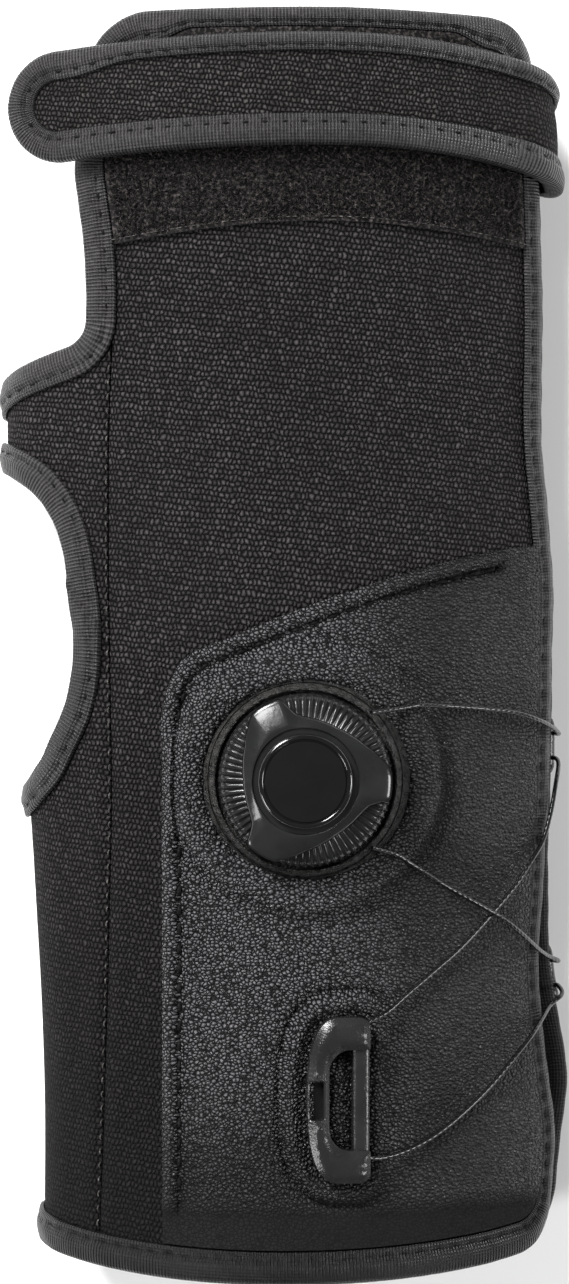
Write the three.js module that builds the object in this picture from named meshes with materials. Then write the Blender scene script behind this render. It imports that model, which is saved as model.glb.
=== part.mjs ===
// A wrist-support bowling glove, lying palm side down with the fingers along +Y and the thumb
// opening towards -X. Millimetres, +Z up.
//
// The canvas is drawn as one flat pattern: u runs across from the crest of the back of the hand
// (positive to the little finger's side), v runs along the hand, and w is the height above the
// canvas's outer face. place() wraps that pattern round the glove's cross-section.
import * as THREE from "three";

// Main sizes of the glove
const gloveLength = 246;
const handHalfWidth = 56;
const wristHeight = 46;
const mouthLift = 5.4;
const sideRoundShare = 0.37;

// Canvas and tape
const canvasThickness = 2.4;
const seatGap = 0.3;
const tapeThickness = 0.7;
const tapeReach = 5.6;
const seamGap = 0.3;
const cuffCornerRound = 12;
const fingerCornerRound = 13;
const notchRound = 6.5;
const cuffBow = 4.6;
const fingerFallLittle = 0.6;
const fingerFallThumb = 0.4;
const palmFlapDrop = 6;
const backEdgeRise = 20;
const palmEdgeDrop = 10;

// Thumb hole
const thumbHoleLength = 64;
const thumbHoleBack = 23;
const thumbHolePalm = 22.5;

// Loop patch, strap and hook pad
const loopThickness = 1.2;
const loopLowerBow = 4;
const strapWidth = 22;
const strapThickness = 1.6;
const strapFallThumb = 3.5;
const strapFallLittle = 5.5;
const strapRootLap = 9;
const hookThickness = 0.6;

// Leather overlay
const leatherThickness = 1.3;
const leatherTopFall = 24;
const leatherLeft = 23.7;
const leatherCornerRound = 14;
const leatherBlend = 3.5;

// Lace dial
const dialX = 4;
const knobRadius = 16.7;
const knobHeight = 6.1;
const knobChamfer = 0.7;
const bezelWall = 1.4;
const bezelHeight = 5.8;
const bezelClearance = 0.6;
const leatherHoleClearance = 0.8;
const flangeReach = 5.4;
const flangeThickness = 1.9;
const dialFloor = 2.6;
const axleRadius = 3.1;
const axleHeight = 7.4;
const gripThickness = 1.5;
const gripReach = 0.975;
const gripTurn = 100;
const capRadius = 9;
const capHeight = 1.2;
const dialSegments = 36;

// Lace, its D-shaped handle and the guides on the palm side's edge
const laceDiameter = 0.9;
const laceSides = 8;
const laceStep = 4;
const handleLength = 31.8;
const handleWidth = 12.2;
const handleThickness = 3.2;
const handleCorner = 2.5;
const handleX = 9.8;
const handleSegments = 6;
const handleWindowLength = 19.4;
const handleWindowWidth = 4.8;
const handleWindowOffset = 0.5;
const handleSlotLength = 7.2;
const handleSlotWidth = 2;
const handleSlotOffset = -4.3;
const handleBaseThickness = 1;
const handleBaseInset = 1.6;
const guideLength = 12;
const guideReach = 7;
const guideThickness = 2.2;
const guideGap = 1;
const laceEndGap = 0.6;
const laceSpread = 5;
const laceExitReach = 22.4;
const laceExitUpper = 38;
const laceExitLower = -41;
const handleUpperOut = 3;
const handleLowerOut = 1.2;
const handleLowerIn = 4.5;

// Places along the hand, as shares of gloveLength from the cuff
const thumbHoleTopAlong = 0.64;
const bridgeBackAlong = 0.739;
const bridgeFoldAlong = 0.706;
const bridgePalmAlong = 0.694;
const loopLowerAlong = 0.817;
const strapAlong = 0.9364;
const leatherTopAlong = 0.577;
const dialAlong = 0.3923;
const handleAlong = 0.1423;
const upperGuideAlong = 0.4146;
const lowerGuideAlong = 0.2276;

// Places across the hand, as shares of handHalfWidth from the crest
const fingerPeakAcross = 0.21;
const strapTipAcross = -0.979;
const strapLeavesAcross = -0.643;
const strapCrestAcross = 0.179;
const hookStartAcross = -0.679;
const hookEndAcross = 0.536;

// Mesh steps
const crownColumns = 5;
const sideColumns = 10;
const flatColumns = 2;
const rowStep = 16;

// Cross-sections from the cuff to the fingers. thumb, little and palm are half widths as shares of
// handHalfWidth: the thumb side, and the back's and the palm's little-finger side. height is a share
// of wristHeight and lift a share of mouthLift.
const sections = [
  { along: 0.00, thumb: 0.857, little: 0.929, palm: 0.938, height: 1.000, lift: 0.480 },
  { along: 0.06, thumb: 0.859, little: 0.950, palm: 0.965, height: 1.000, lift: 0.100 },
  { along: 0.10, thumb: 0.861, little: 0.964, palm: 0.985, height: 1.000, lift: 0.000 },
  { along: 0.15, thumb: 0.866, little: 0.939, palm: 1.004, height: 1.000, lift: 0.000 },
  { along: 0.23, thumb: 0.877, little: 0.905, palm: 0.946, height: 1.000, lift: 0.000 },
  { along: 0.32, thumb: 0.900, little: 0.925, palm: 0.936, height: 1.000, lift: 0.060 },
  { along: 0.38, thumb: 0.920, little: 0.939, palm: 0.943, height: 0.991, lift: 0.180 },
  { along: 0.48, thumb: 0.954, little: 0.948, palm: 0.949, height: 0.965, lift: 0.270 },
  { along: 0.55, thumb: 0.975, little: 0.953, palm: 0.953, height: 0.939, lift: 0.280 },
  { along: 0.60, thumb: 0.986, little: 0.937, palm: 0.937, height: 0.913, lift: 0.290 },
  { along: 0.67, thumb: 0.996, little: 0.912, palm: 0.912, height: 0.870, lift: 0.360 },
  { along: 0.76, thumb: 0.989, little: 0.915, palm: 0.915, height: 0.826, lift: 0.560 },
  { along: 0.85, thumb: 0.975, little: 0.905, palm: 0.905, height: 0.793, lift: 0.850 },
  { along: 0.94, thumb: 0.962, little: 0.885, palm: 0.885, height: 0.775, lift: 0.950 },
  { along: 1.00, thumb: 0.955, little: 0.875, palm: 0.875, height: 0.761, lift: 1.000 },
];

// Thumb side's free edge above the bridge, as shares of the local thumb half width
const notchRows = [
  { along: 0.760, across: 0.690 },
  { along: 0.785, across: 0.693 },
  { along: 0.818, across: 0.705 },
  { along: 0.849, across: 0.727 },
  { along: 0.881, across: 0.745 },
  { along: 0.940, across: 0.720 },
  { along: 1.000, across: 0.690 },
];

// Visible seam between the back and palm panels, as shares of the local thumb half width
const seamRows = [
  { along: 0.00, across: 0.765 },
  { along: 0.07, across: 0.755 },
  { along: 0.28, across: 0.697 },
  { along: 0.40, across: 0.657 },
  { along: 0.75, across: 0.612 },
];

// Thumb hole's rim, from its cuff end to its finger end, as shares of its reach to each side
const thumbRows = [
  { along: 0.000, back: 0.000, palm: 0.000 },
  { along: 0.020, back: 0.260, palm: 0.240 },
  { along: 0.090, back: 0.540, palm: 0.520 },
  { along: 0.170, back: 0.700, palm: 0.720 },
  { along: 0.260, back: 0.860, palm: 0.870 },
  { along: 0.370, back: 0.960, palm: 0.970 },
  { along: 0.500, back: 1.000, palm: 1.000 },
  { along: 0.650, back: 0.965, palm: 0.960 },
  { along: 0.780, back: 0.900, palm: 0.860 },
  { along: 0.870, back: 0.780, palm: 0.740 },
  { along: 0.940, back: 0.590, palm: 0.560 },
  { along: 0.985, back: 0.300, palm: 0.290 },
  { along: 1.000, back: 0.000, palm: 0.000 },
];

// Lace runs between two of the lace ends. Each point holds its shares of the way across and along the
// hand, and its height above the canvas.
const laceRuns = {
  lace_upper_out: {
    from: "dialUpper",
    to: "guideUpperFar",
    points: [
      [0, 0, 5], [0.072, -0.087, 4.4], [0.2, -0.052, 2.6], [0.372, 0.051, 2.45],
      [0.543, 0.206, 2.35], [0.65, 0.43, 2.2], [0.747, 0.671, 2.2], [0.833, 0.878, 2.2],
      [0.918, 0.981, 2.2], [1, 1, 2.3],
    ],
  },
  lace_upper_back: {
    from: "guideUpperNear",
    to: "handleUpper",
    points: [
      [0, 0, 2.3], [0.08, 0.023, 2.2], [0.161, 0.104, 2.2], [0.215, 0.218, 2.2],
      [0.276, 0.332, 2.2], [0.342, 0.405, 2.3], [0.413, 0.494, 2.35], [0.526, 0.606, 2.35],
      [0.681, 0.751, 2.4], [0.804, 0.847, 2.5], [0.919, 0.936, 2.9], [1, 1, 3.7],
    ],
  },
  lace_lower_out: {
    from: "guideLowerNear",
    to: "handleLower",
    points: [
      [0, 0, 2.3], [0.099, 0.043, 2.3], [0.176, 0.103, 2.2], [0.255, 0.177, 2.2],
      [0.33, 0.271, 2.25], [0.399, 0.371, 2.35], [0.468, 0.475, 2.4], [0.558, 0.612, 2.4],
      [0.7, 0.799, 2.4], [0.812, 0.913, 2.6], [0.919, 0.98, 3.3], [1, 1, 4.3],
    ],
  },
  lace_lower_back: {
    from: "guideLowerFar",
    to: "dialLower",
    points: [
      [0, 0, 2.3], [0.1, 0.022, 2.3], [0.184, 0.065, 2.2], [0.286, 0.138, 2.2], [0.382, 0.249, 2.6],
      [0.484, 0.382, 3.5], [0.566, 0.481, 3.7], [0.664, 0.596, 3.1], [0.8, 0.751, 2.6],
      [0.902, 0.871, 4.1], [0.956, 0.94, 4.7], [1, 1, 5],
    ],
  },
};

// Colours and finishes
const finishes = {
  canvas: { color: 0x1a1819, roughness: 0.9, metalness: 0 },
  tape: { color: 0x2b2a2b, roughness: 0.75, metalness: 0 },
  loop: { color: 0x121010, roughness: 1, metalness: 0 },
  hook: { color: 0x0d0d0d, roughness: 0.9, metalness: 0 },
  leather: { color: 0x2a292b, roughness: 0.5, metalness: 0 },
  dial: { color: 0x161617, roughness: 0.35, metalness: 0 },
  grip: { color: 0x242425, roughness: 0.45, metalness: 0 },
  cap: { color: 0x101011, roughness: 0.15, metalness: 0 },
  handle: { color: 0x141314, roughness: 0.35, metalness: 0 },
  lace: { color: 0x1c1c1e, roughness: 0.5, metalness: 0 },
};

const halfTurn = Math.PI;
const quarterTurn = Math.PI / 2;
const degree = Math.PI / 180;
const cuffEnd = -gloveLength / 2;
const alongHand = (share) => cuffEnd + share * gloveLength;

const thumbHoleTop = alongHand(thumbHoleTopAlong);
const loopLowerEdge = alongHand(loopLowerAlong);
const strapCentre = alongHand(strapAlong);
const leatherTop = alongHand(leatherTopAlong);
const dialY = alongHand(dialAlong);
const handleY = alongHand(handleAlong);
const strapTip = handHalfWidth * strapTipAcross;
const strapLeaves = handHalfWidth * strapLeavesAcross;
const strapCrest = handHalfWidth * strapCrestAcross;
const hookStart = handHalfWidth * hookStartAcross;
const hookEnd = handHalfWidth * hookEndAcross;

// Smooth value of one named column of a table at a share along it
function column(rows, name, along) {
  const last = rows.length - 1;
  const at = Math.min(Math.max(along, rows[0].along), rows[last].along);
  let i = 0;
  while (i < last - 1 && at > rows[i + 1].along) i += 1;
  const slope = (k) => {
    const before = rows[Math.max(k - 1, 0)];
    const after = rows[Math.min(k + 1, last)];
    return (after[name] - before[name]) / (after.along - before.along);
  };
  const span = rows[i + 1].along - rows[i].along;
  const s = (at - rows[i].along) / span;
  const rest = 1 - s;
  const start = (1 + 2 * s) * rest * rest * rows[i][name] + s * rest * rest * span * slope(i);
  const end = s * s * (3 - 2 * s) * rows[i + 1][name] - s * s * rest * span * slope(i + 1);
  return start + end;
}

const smooth = (s) => {
  const t = Math.min(Math.max(s, 0), 1);
  return t * t * (3 - 2 * t);
};

// One side of the cross-section: a flat crown arc, a tight side arc and half of the flat palm
function sideAt(v, name) {
  const along = (v - cuffEnd) / gloveLength;
  const half = handHalfWidth * column(sections, name, along);
  const height = wristHeight * column(sections, "height", along);
  const lift = mouthLift * Math.max(column(sections, "lift", along), 0);
  const round = sideRoundShare * height;
  const flat = half - round;
  const crownRadius = (flat ** 2 + (height - round) ** 2 - round ** 2) / (2 * (height - 2 * round));
  const crownAngle = Math.asin(flat / (crownRadius - round));
  const crownArc = crownRadius * crownAngle;
  const sideArc = round * (halfTurn - crownAngle);
  return { half, height, lift, round, flat, crownRadius, crownAngle, crownArc, sideArc };
}

// Distance across the pattern of the point on a side arc whose normal leans by angle from +Z
function uAtAngle(v, name, angle) {
  const side = sideAt(v, name);
  return side.crownArc + side.round * (angle - side.crownAngle);
}

// Distance across the pattern of the point on the back at a share of the local half width
function uAtShare(v, name, share) {
  const side = sideAt(v, name);
  const x = share * side.half;
  if (x <= side.crownRadius * Math.sin(side.crownAngle)) {
    return side.crownRadius * Math.asin(x / side.crownRadius);
  }
  const lean = Math.asin(Math.min((x - side.flat) / side.round, 1));
  return side.crownArc + side.round * (lean - side.crownAngle);
}

// Point of the wrapped pattern, as x, z and the leaning angle of its normal
function wrapSide(side, palm, d) {
  if (d <= side.crownArc) {
    const angle = d / side.crownRadius;
    const z = side.height - side.crownRadius * (1 - Math.cos(angle));
    return { x: side.crownRadius * Math.sin(angle), z, angle };
  }
  if (d <= side.crownArc + side.sideArc) {
    const angle = side.crownAngle + (d - side.crownArc) / side.round;
    return {
      x: side.flat + side.round * Math.sin(angle),
      z: side.round * (1 + Math.cos(angle)),
      angle,
    };
  }
  const inward = d - side.crownArc - side.sideArc;
  const past = inward - side.flat - palm.flat;
  if (past <= 0) return { x: side.flat - inward, z: 0, angle: halfTurn };
  const angle = halfTurn + past / palm.round;
  return {
    x: -palm.flat + palm.round * Math.sin(angle),
    z: palm.round * (1 + Math.cos(angle)),
    angle,
  };
}

// Wraps a pattern point into space. Negative u goes round the thumb side and under the palm.
function place(u, v, w) {
  const way = u < 0 ? -1 : 1;
  const side = sideAt(v, u < 0 ? "thumb" : "little");
  const palm = u < 0 ? sideAt(v, "palm") : side;
  const at = wrapSide(side, palm, Math.abs(u));
  return new THREE.Vector3(
    way * (at.x + w * Math.sin(at.angle)),
    v,
    at.z + side.lift + w * Math.cos(at.angle),
  );
}

// Number of mesh columns between the crest and u, which grows fast where the pattern bends
function columnOf(u, v) {
  const side = sideAt(v, u < 0 ? "thumb" : "little");
  const palm = sideAt(v, "palm");
  const d = Math.abs(u);
  const way = u < 0 ? -1 : 1;
  if (d <= side.crownArc) return (way * crownColumns * d) / side.crownArc;
  const round = d - side.crownArc;
  if (round <= side.sideArc) return way * (crownColumns + (sideColumns * round) / side.sideArc);
  const inward = round - side.sideArc;
  const flat = side.flat + palm.flat;
  const start = crownColumns + sideColumns;
  if (inward <= flat) return way * (start + (2 * flatColumns * inward) / flat);
  const perColumn = palm.sideArc / sideColumns;
  return way * (start + 2 * flatColumns + (inward - flat) / perColumn);
}

function uOfColumn(c, v) {
  const side = sideAt(v, c < 0 ? "thumb" : "little");
  const palm = sideAt(v, "palm");
  const d = Math.abs(c);
  const way = c < 0 ? -1 : 1;
  if (d <= crownColumns) return (way * side.crownArc * d) / crownColumns;
  const round = d - crownColumns;
  if (round <= sideColumns) return way * (side.crownArc + (side.sideArc * round) / sideColumns);
  const inward = round - sideColumns;
  const flat = side.flat + palm.flat;
  const start = side.crownArc + side.sideArc;
  if (inward <= 2 * flatColumns) return way * (start + (flat * inward) / (2 * flatColumns));
  const perColumn = palm.sideArc / sideColumns;
  return way * (start + flat + (inward - 2 * flatColumns) * perColumn);
}

// Edges of the pattern
const backEdge = (v) => uAtAngle(v, "little", quarterTurn - backEdgeRise * degree);
const notchEdge = (v) => -uAtShare(v, "thumb", column(notchRows, "across", (v - cuffEnd) / gloveLength));
const seamLine = (v) => -uAtShare(v, "thumb", column(seamRows, "across", (v - cuffEnd) / gloveLength));
const thumbFold = (v) => -uAtAngle(v, "thumb", quarterTurn);

function palmEdge(v) {
  const thumb = sideAt(v, "thumb");
  const palm = sideAt(v, "palm");
  const across = thumb.crownArc + thumb.sideArc + thumb.flat + palm.flat;
  return -(across + palm.round * (quarterTurn - palmEdgeDrop * degree));
}

function palmNotchEdge(v) {
  const thumb = sideAt(v, "thumb");
  return -(thumb.crownArc + thumb.sideArc + tapeReach / 2);
}

const cuffLine = (u) => cuffEnd + cuffBow * Math.min(1, (u / thumbFold(cuffEnd)) ** 2);

// Closed line with its corners rounded. A point without a round is passed as it is.
function rounded(points) {
  const line = [];
  points.forEach((point, i) => {
    const before = points[(i + points.length - 1) % points.length];
    const after = points[(i + 1) % points.length];
    if (!point.round) {
      line.push([point.u, point.v]);
      return;
    }
    const corner = new THREE.Vector2(point.u, point.v);
    const back = new THREE.Vector2(before.u, before.v).sub(corner).normalize();
    const ahead = new THREE.Vector2(after.u, after.v).sub(corner).normalize();
    const opening = Math.acos(THREE.MathUtils.clamp(back.dot(ahead), -1, 1));
    const reach = point.round / Math.tan(opening / 2);
    const start = corner.clone().addScaledVector(back, reach);
    const end = corner.clone().addScaledVector(ahead, reach);
    const middle = back.clone().add(ahead).normalize();
    const centre = corner.clone().addScaledVector(middle, point.round / Math.sin(opening / 2));
    const turn = halfTurn - opening;
    const steps = Math.max(2, Math.ceil(turn / 0.2));
    const from = start.clone().sub(centre);
    const sign = Math.sign(from.cross(end.clone().sub(centre))) || 1;
    for (let k = 0; k <= steps; k += 1) {
      const arm = from.clone().rotateAround(new THREE.Vector2(), (sign * turn * k) / steps);
      line.push([centre.x + arm.x, centre.y + arm.y]);
    }
  });
  return line;
}

// Thins or fills a closed line so that its steps follow the mesh columns, the rows and its own turns
function restep(line, fineness = 1) {
  const dense = [];
  line.forEach((point, i) => {
    const next = line[(i + 1) % line.length];
    const pieces = Math.max(1, Math.ceil(Math.hypot(next[0] - point[0], next[1] - point[1])));
    for (let k = 0; k < pieces; k += 1) {
      dense.push([
        point[0] + ((next[0] - point[0]) * k) / pieces,
        point[1] + ((next[1] - point[1]) * k) / pieces,
      ]);
    }
  });
  const turnStep = 0.42;
  const costs = dense.map((point, i) => {
    const before = dense[(i + dense.length - 1) % dense.length];
    const next = dense[(i + 1) % dense.length];
    const columns = Math.abs(columnOf(next[0], next[1]) - columnOf(point[0], point[1]));
    const rows = Math.abs(next[1] - point[1]) / rowStep;
    const into = Math.atan2(point[1] - before[1], point[0] - before[0]);
    const out = Math.atan2(next[1] - point[1], next[0] - point[0]);
    const turn = Math.abs(Math.atan2(Math.sin(out - into), Math.cos(out - into)));
    return Math.max(Math.hypot(columns, rows), 0.001) + turn / turnStep;
  });
  const total = costs.reduce((sum, cost) => sum + cost, 0);
  const count = Math.ceil(total * fineness);
  const kept = [];
  let spent = 0;
  dense.forEach((point, i) => {
    if (spent >= (kept.length * total) / count) kept.push(point);
    spent += costs[i];
  });
  return kept;
}

// Outer outline of the whole pattern, counter-clockwise from the palm's cuff corner
function outerOutline() {
  const points = [];
  const cornerClear = 1.4;
  const notchClear = 1.5;
  const edgeStep = 9;
  const cuffClear = cornerClear * cuffCornerRound;
  const fingerClear = cornerClear * fingerCornerRound;
  const fingerEnd = -cuffEnd;
  const palmEnd = fingerEnd - palmFlapDrop;
  const corner = (u, v, round) => points.push({ u, v, round });
  const acrossCuff = (from, to) => {
    const steps = Math.ceil(Math.abs(to - from) / edgeStep);
    for (let k = 0; k <= steps; k += 1) {
      const u = from + ((to - from) * k) / steps;
      points.push({ u, v: cuffLine(u) });
    }
  };
  const alongEdge = (edge, from, to) => {
    const steps = Math.ceil(Math.abs(to - from) / edgeStep);
    for (let k = 0; k <= steps; k += 1) {
      const v = from + ((to - from) * k) / steps;
      points.push({ u: edge(v), v });
    }
  };
  const cuffSide = cuffLine(thumbFold(cuffEnd));
  corner(palmEdge(cuffSide), cuffSide, cuffCornerRound);
  acrossCuff(palmEdge(cuffSide) + cuffClear, backEdge(cuffSide) - cuffClear);
  corner(backEdge(cuffSide), cuffSide, cuffCornerRound);
  const littleEnd = fingerEnd - fingerFallLittle;
  const thumbEnd = fingerEnd - fingerFallThumb;
  alongEdge(backEdge, cuffSide + cuffClear, littleEnd - fingerClear);
  corner(backEdge(fingerEnd), littleEnd, fingerCornerRound);
  points.push({ u: handHalfWidth * fingerPeakAcross, v: fingerEnd });
  corner(notchEdge(fingerEnd), thumbEnd, fingerCornerRound);
  const bridgeBack = alongHand(bridgeBackAlong);
  const bridgeFold = alongHand(bridgeFoldAlong);
  const bridgePalm = alongHand(bridgePalmAlong);
  alongEdge(notchEdge, thumbEnd - fingerClear, bridgeBack + notchClear * notchRound);
  corner(notchEdge(bridgeBack), bridgeBack, notchRound);
  points.push({ u: thumbFold(bridgeFold), v: bridgeFold });
  corner(palmNotchEdge(bridgePalm), bridgePalm, notchRound);
  alongEdge(palmNotchEdge, bridgePalm + notchClear * notchRound, palmEnd - fingerClear);
  corner(palmNotchEdge(palmEnd), palmEnd, fingerCornerRound);
  corner(palmEdge(palmEnd), palmEnd, fingerCornerRound);
  alongEdge(palmEdge, palmEnd - fingerClear, cuffSide + cuffClear);
  return restep(rounded(points));
}

// Thumb hole's rim, clockwise as a hole is
function thumbRim() {
  const cuffwards = thumbHoleTop - thumbHoleLength;
  const at = (row, reach) => {
    const v = cuffwards + thumbHoleLength * row.along;
    return [thumbFold(v) + reach, v];
  };
  const back = thumbRows.map((row) => at(row, thumbHoleBack * row.back));
  const palm = thumbRows.slice(1, -1).reverse().map((row) => at(row, -thumbHolePalm * row.palm));
  const curve = new THREE.CatmullRomCurve3(
    [...back, ...palm].map(([u, v]) => new THREE.Vector3(u, v, 0)),
    true,
    "centripetal",
  );
  const spaced = curve.getSpacedPoints(120).slice(0, -1).map((point) => [point.x, point.y]);
  return restep(spaced.reverse(), 1.7);
}

// Moves each point of a closed line to its left by a distance
function inset(line, distance) {
  return line.map((point, i) => {
    const before = line[(i + line.length - 1) % line.length];
    const after = line[(i + 1) % line.length];
    const into = new THREE.Vector2(point[0] - before[0], point[1] - before[1]).normalize();
    const out = new THREE.Vector2(after[0] - point[0], after[1] - point[1]).normalize();
    const middle = new THREE.Vector2(-into.y - out.y, into.x + out.x).normalize();
    const stretch = 1 / Math.max(middle.dot(new THREE.Vector2(-into.y, into.x)), 0.5);
    return [point[0] + middle.x * distance * stretch, point[1] + middle.y * distance * stretch];
  });
}

function inside(loop, u, v) {
  let odd = false;
  loop.forEach((a, i) => {
    const b = loop[(i + 1) % loop.length];
    if (a[1] > v !== b[1] > v && u < a[0] + ((v - a[1]) * (b[0] - a[0])) / (b[1] - a[1])) odd = !odd;
  });
  return odd;
}

const insideAll = (loops, u, v) =>
  inside(loops[0], u, v) && !loops.slice(1).some((hole) => inside(hole, u, v));

// Closest distance from a point to the loops' edges
function edgeDistance(loops, u, v) {
  let best = Infinity;
  for (const loop of loops) {
    loop.forEach((a, i) => {
      const b = loop[(i + 1) % loop.length];
      const along = [b[0] - a[0], b[1] - a[1]];
      const share = ((u - a[0]) * along[0] + (v - a[1]) * along[1]) / (along[0] ** 2 + along[1] ** 2);
      const s = THREE.MathUtils.clamp(share, 0, 1);
      best = Math.min(best, Math.hypot(u - a[0] - s * along[0], v - a[1] - s * along[1]));
    });
  }
  return best;
}

// Delaunay triangles of points, built up one point at a time
function delaunay(points) {
  const far = 1e4;
  const all = [...points, [-far, -far], [far, -far], [0, far]];
  const n = points.length;
  const circle = (a, b, c) => {
    const [ax, ay] = all[a];
    const bx = all[b][0] - ax;
    const by = all[b][1] - ay;
    const cx = all[c][0] - ax;
    const cy = all[c][1] - ay;
    const twice = 2 * (bx * cy - by * cx);
    const x = (cy * (bx * bx + by * by) - by * (cx * cx + cy * cy)) / twice;
    const y = (bx * (cx * cx + cy * cy) - cx * (bx * bx + by * by)) / twice;
    return { a, b, c, x: x + ax, y: y + ay, reach: x * x + y * y };
  };
  let triangles = [circle(n, n + 1, n + 2)];
  for (let i = 0; i < n; i += 1) {
    const [px, py] = all[i];
    const rim = new Map();
    const kept = [];
    for (const t of triangles) {
      if ((px - t.x) ** 2 + (py - t.y) ** 2 >= t.reach) {
        kept.push(t);
        continue;
      }
      for (const [p, q] of [[t.a, t.b], [t.b, t.c], [t.c, t.a]]) {
        const back = `${q},${p}`;
        if (rim.has(back)) rim.delete(back);
        else rim.set(`${p},${q}`, [p, q]);
      }
    }
    for (const [p, q] of rim.values()) kept.push(circle(p, q, i));
    triangles = kept;
  }
  return triangles.filter((t) => Math.max(t.a, t.b, t.c) < n).map((t) => [t.a, t.b, t.c]);
}

// Closed mesh from points and faces, turned so that its faces point out
function solid(points, faces) {
  let volume = 0;
  for (const [a, b, c] of faces) {
    volume += points[a].dot(new THREE.Vector3().crossVectors(points[b], points[c]));
  }
  const index = volume < 0 ? faces.flatMap(([a, b, c]) => [a, c, b]) : faces.flat();
  const geometry = new THREE.BufferGeometry();
  geometry.setAttribute("position", new THREE.Float32BufferAttribute(points.flatMap((p) => [...p]), 3));
  geometry.setIndex(index);
  geometry.computeVertexNormals();
  return geometry;
}

const quad = (a, b, c, d) => [[a, b, c], [a, c, d]];

// Closed line with its edges cut to no more than the longest length
function cutEdges(line, longest) {
  return line.flatMap((a, i) => {
    const b = line[(i + 1) % line.length];
    const pieces = Math.max(1, Math.ceil(Math.hypot(b[0] - a[0], b[1] - a[1]) / longest - 0.2));
    return Array.from({ length: pieces }, (_, k) => [
      a[0] + ((b[0] - a[0]) * k) / pieces,
      a[1] + ((b[1] - a[1]) * k) / pieces,
    ]);
  });
}

// Places across the pattern of the mesh columns between two ends, with the ends
function bendsBetween(from, to, v) {
  const bends = [from];
  for (let c = Math.ceil(columnOf(from, v) + 0.4); c <= columnOf(to, v) - 0.4; c += 1) {
    bends.push(uOfColumn(c, v));
  }
  bends.push(to);
  return bends;
}

// Solid sheet over a region of the pattern, between two heights that are functions of u and v.
// put maps a pattern point into space, step is the rows' distance, cut the longest edge, extra holds
// further mesh points and border is the width along the edges that has none of the grid's points.
function sheet(edges, bottom, top, options = {}) {
  const { put = place, extra = [], step = rowStep, cut = step, border = 0 } = options;
  const stretch = 9;
  const flatten = ([u, v]) => [columnOf(u, v) * stretch, v];
  const loops = edges.map((edge) => cutEdges(edge, cut));
  const flatLoops = loops.map((loop) => loop.map(flatten));
  const rim = loops.flat();
  const points = [...rim];
  const spans = [];
  flatLoops.forEach((loop) => {
    loop.forEach((a, i) => {
      const b = loop[(i + 1) % loop.length];
      spans.push([(a[0] + b[0]) / 2, (a[1] + b[1]) / 2, Math.hypot(b[0] - a[0], b[1] - a[1]) / 2]);
    });
  });
  const free = (u, v, room) => {
    const [x, y] = flatten([u, v]);
    return insideAll(loops, u, v)
      && edgeDistance(flatLoops, x, y) > room
      && spans.every(([cx, cy, r]) => Math.hypot(x - cx, y - cy) > r * 1.05);
  };
  for (const [u, v] of extra) if (free(u, v, 0.6)) points.push([u, v]);
  const flatExtra = points.slice(rim.length).map(flatten);
  const vs = rim.map((point) => point[1]);
  const rows = Math.max(1, Math.round((Math.max(...vs) - Math.min(...vs)) / step));
  for (let r = 1; r < rows; r += 1) {
    const v = Math.min(...vs) + ((Math.max(...vs) - Math.min(...vs)) * r) / rows;
    for (let c = -30; c <= 20; c += 1) {
      const u = uOfColumn(c, v);
      const [x, y] = flatten([u, v]);
      const clear = flatExtra.every((p) => Math.hypot(p[0] - x, p[1] - y) > stretch * 0.45);
      if (clear && free(u, v, stretch * 0.3) && edgeDistance(loops, u, v) > border) {
        points.push([u, v]);
      }
    }
  }
  const jitter = (i) => 1e-4 * Math.sin(12.9898 * i);
  const spread = points.map(flatten).map(([x, y], i) => [x + jitter(i), y + jitter(i + 7)]);
  const faces = delaunay(spread).filter((t) => {
    const x = (spread[t[0]][0] + spread[t[1]][0] + spread[t[2]][0]) / 3;
    const y = (spread[t[0]][1] + spread[t[1]][1] + spread[t[2]][1]) / 3;
    return insideAll(flatLoops, x, y);
  });
  const n = points.length;
  const places = [
    ...points.map(([u, v]) => put(u, v, top(u, v))),
    ...points.map(([u, v]) => put(u, v, bottom(u, v))),
  ];
  const open = new Map();
  for (const [a, b, c] of faces) {
    for (const [p, q] of [[a, b], [b, c], [c, a]]) {
      if (open.has(`${q},${p}`)) open.delete(`${q},${p}`);
      else open.set(`${p},${q}`, [p, q]);
    }
  }
  const under = faces.map(([a, b, c]) => [n + a, n + c, n + b]);
  const walls = [...open.values()].flatMap(([p, q]) => quad(q, p, n + p, n + q));
  return solid(places, [...faces, ...under, ...walls]);
}

// Sweeps a closed section of (inward, height) points along a line of the pattern
function sweep(line, section, closed, put = place) {
  const rings = section.map(([inward]) => (closed ? inset(line, inward) : insetOpen(line, inward)));
  const points = [];
  const count = section.length;
  line.forEach((_, i) => {
    section.forEach(([, height], k) => points.push(put(rings[k][i][0], rings[k][i][1], height)));
  });
  const faces = [];
  const spans = closed ? line.length : line.length - 1;
  for (let i = 0; i < spans; i += 1) {
    const next = (i + 1) % line.length;
    for (let k = 0; k < count; k += 1) {
      const side = (k + 1) % count;
      faces.push(...quad(i * count + k, next * count + k, next * count + side, i * count + side));
    }
  }
  if (!closed) {
    const caps = THREE.ShapeUtils.triangulateShape(section.map(([x, y]) => new THREE.Vector2(x, y)), []);
    const end = (line.length - 1) * count;
    const turned = THREE.ShapeUtils.area(section.map(([x, y]) => new THREE.Vector2(x, y))) > 0;
    for (const [a, b, c] of caps) {
      faces.push(turned ? [a, b, c] : [c, b, a]);
      faces.push(turned ? [end + c, end + b, end + a] : [end + a, end + b, end + c]);
    }
  }
  return solid(points, faces);
}

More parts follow.
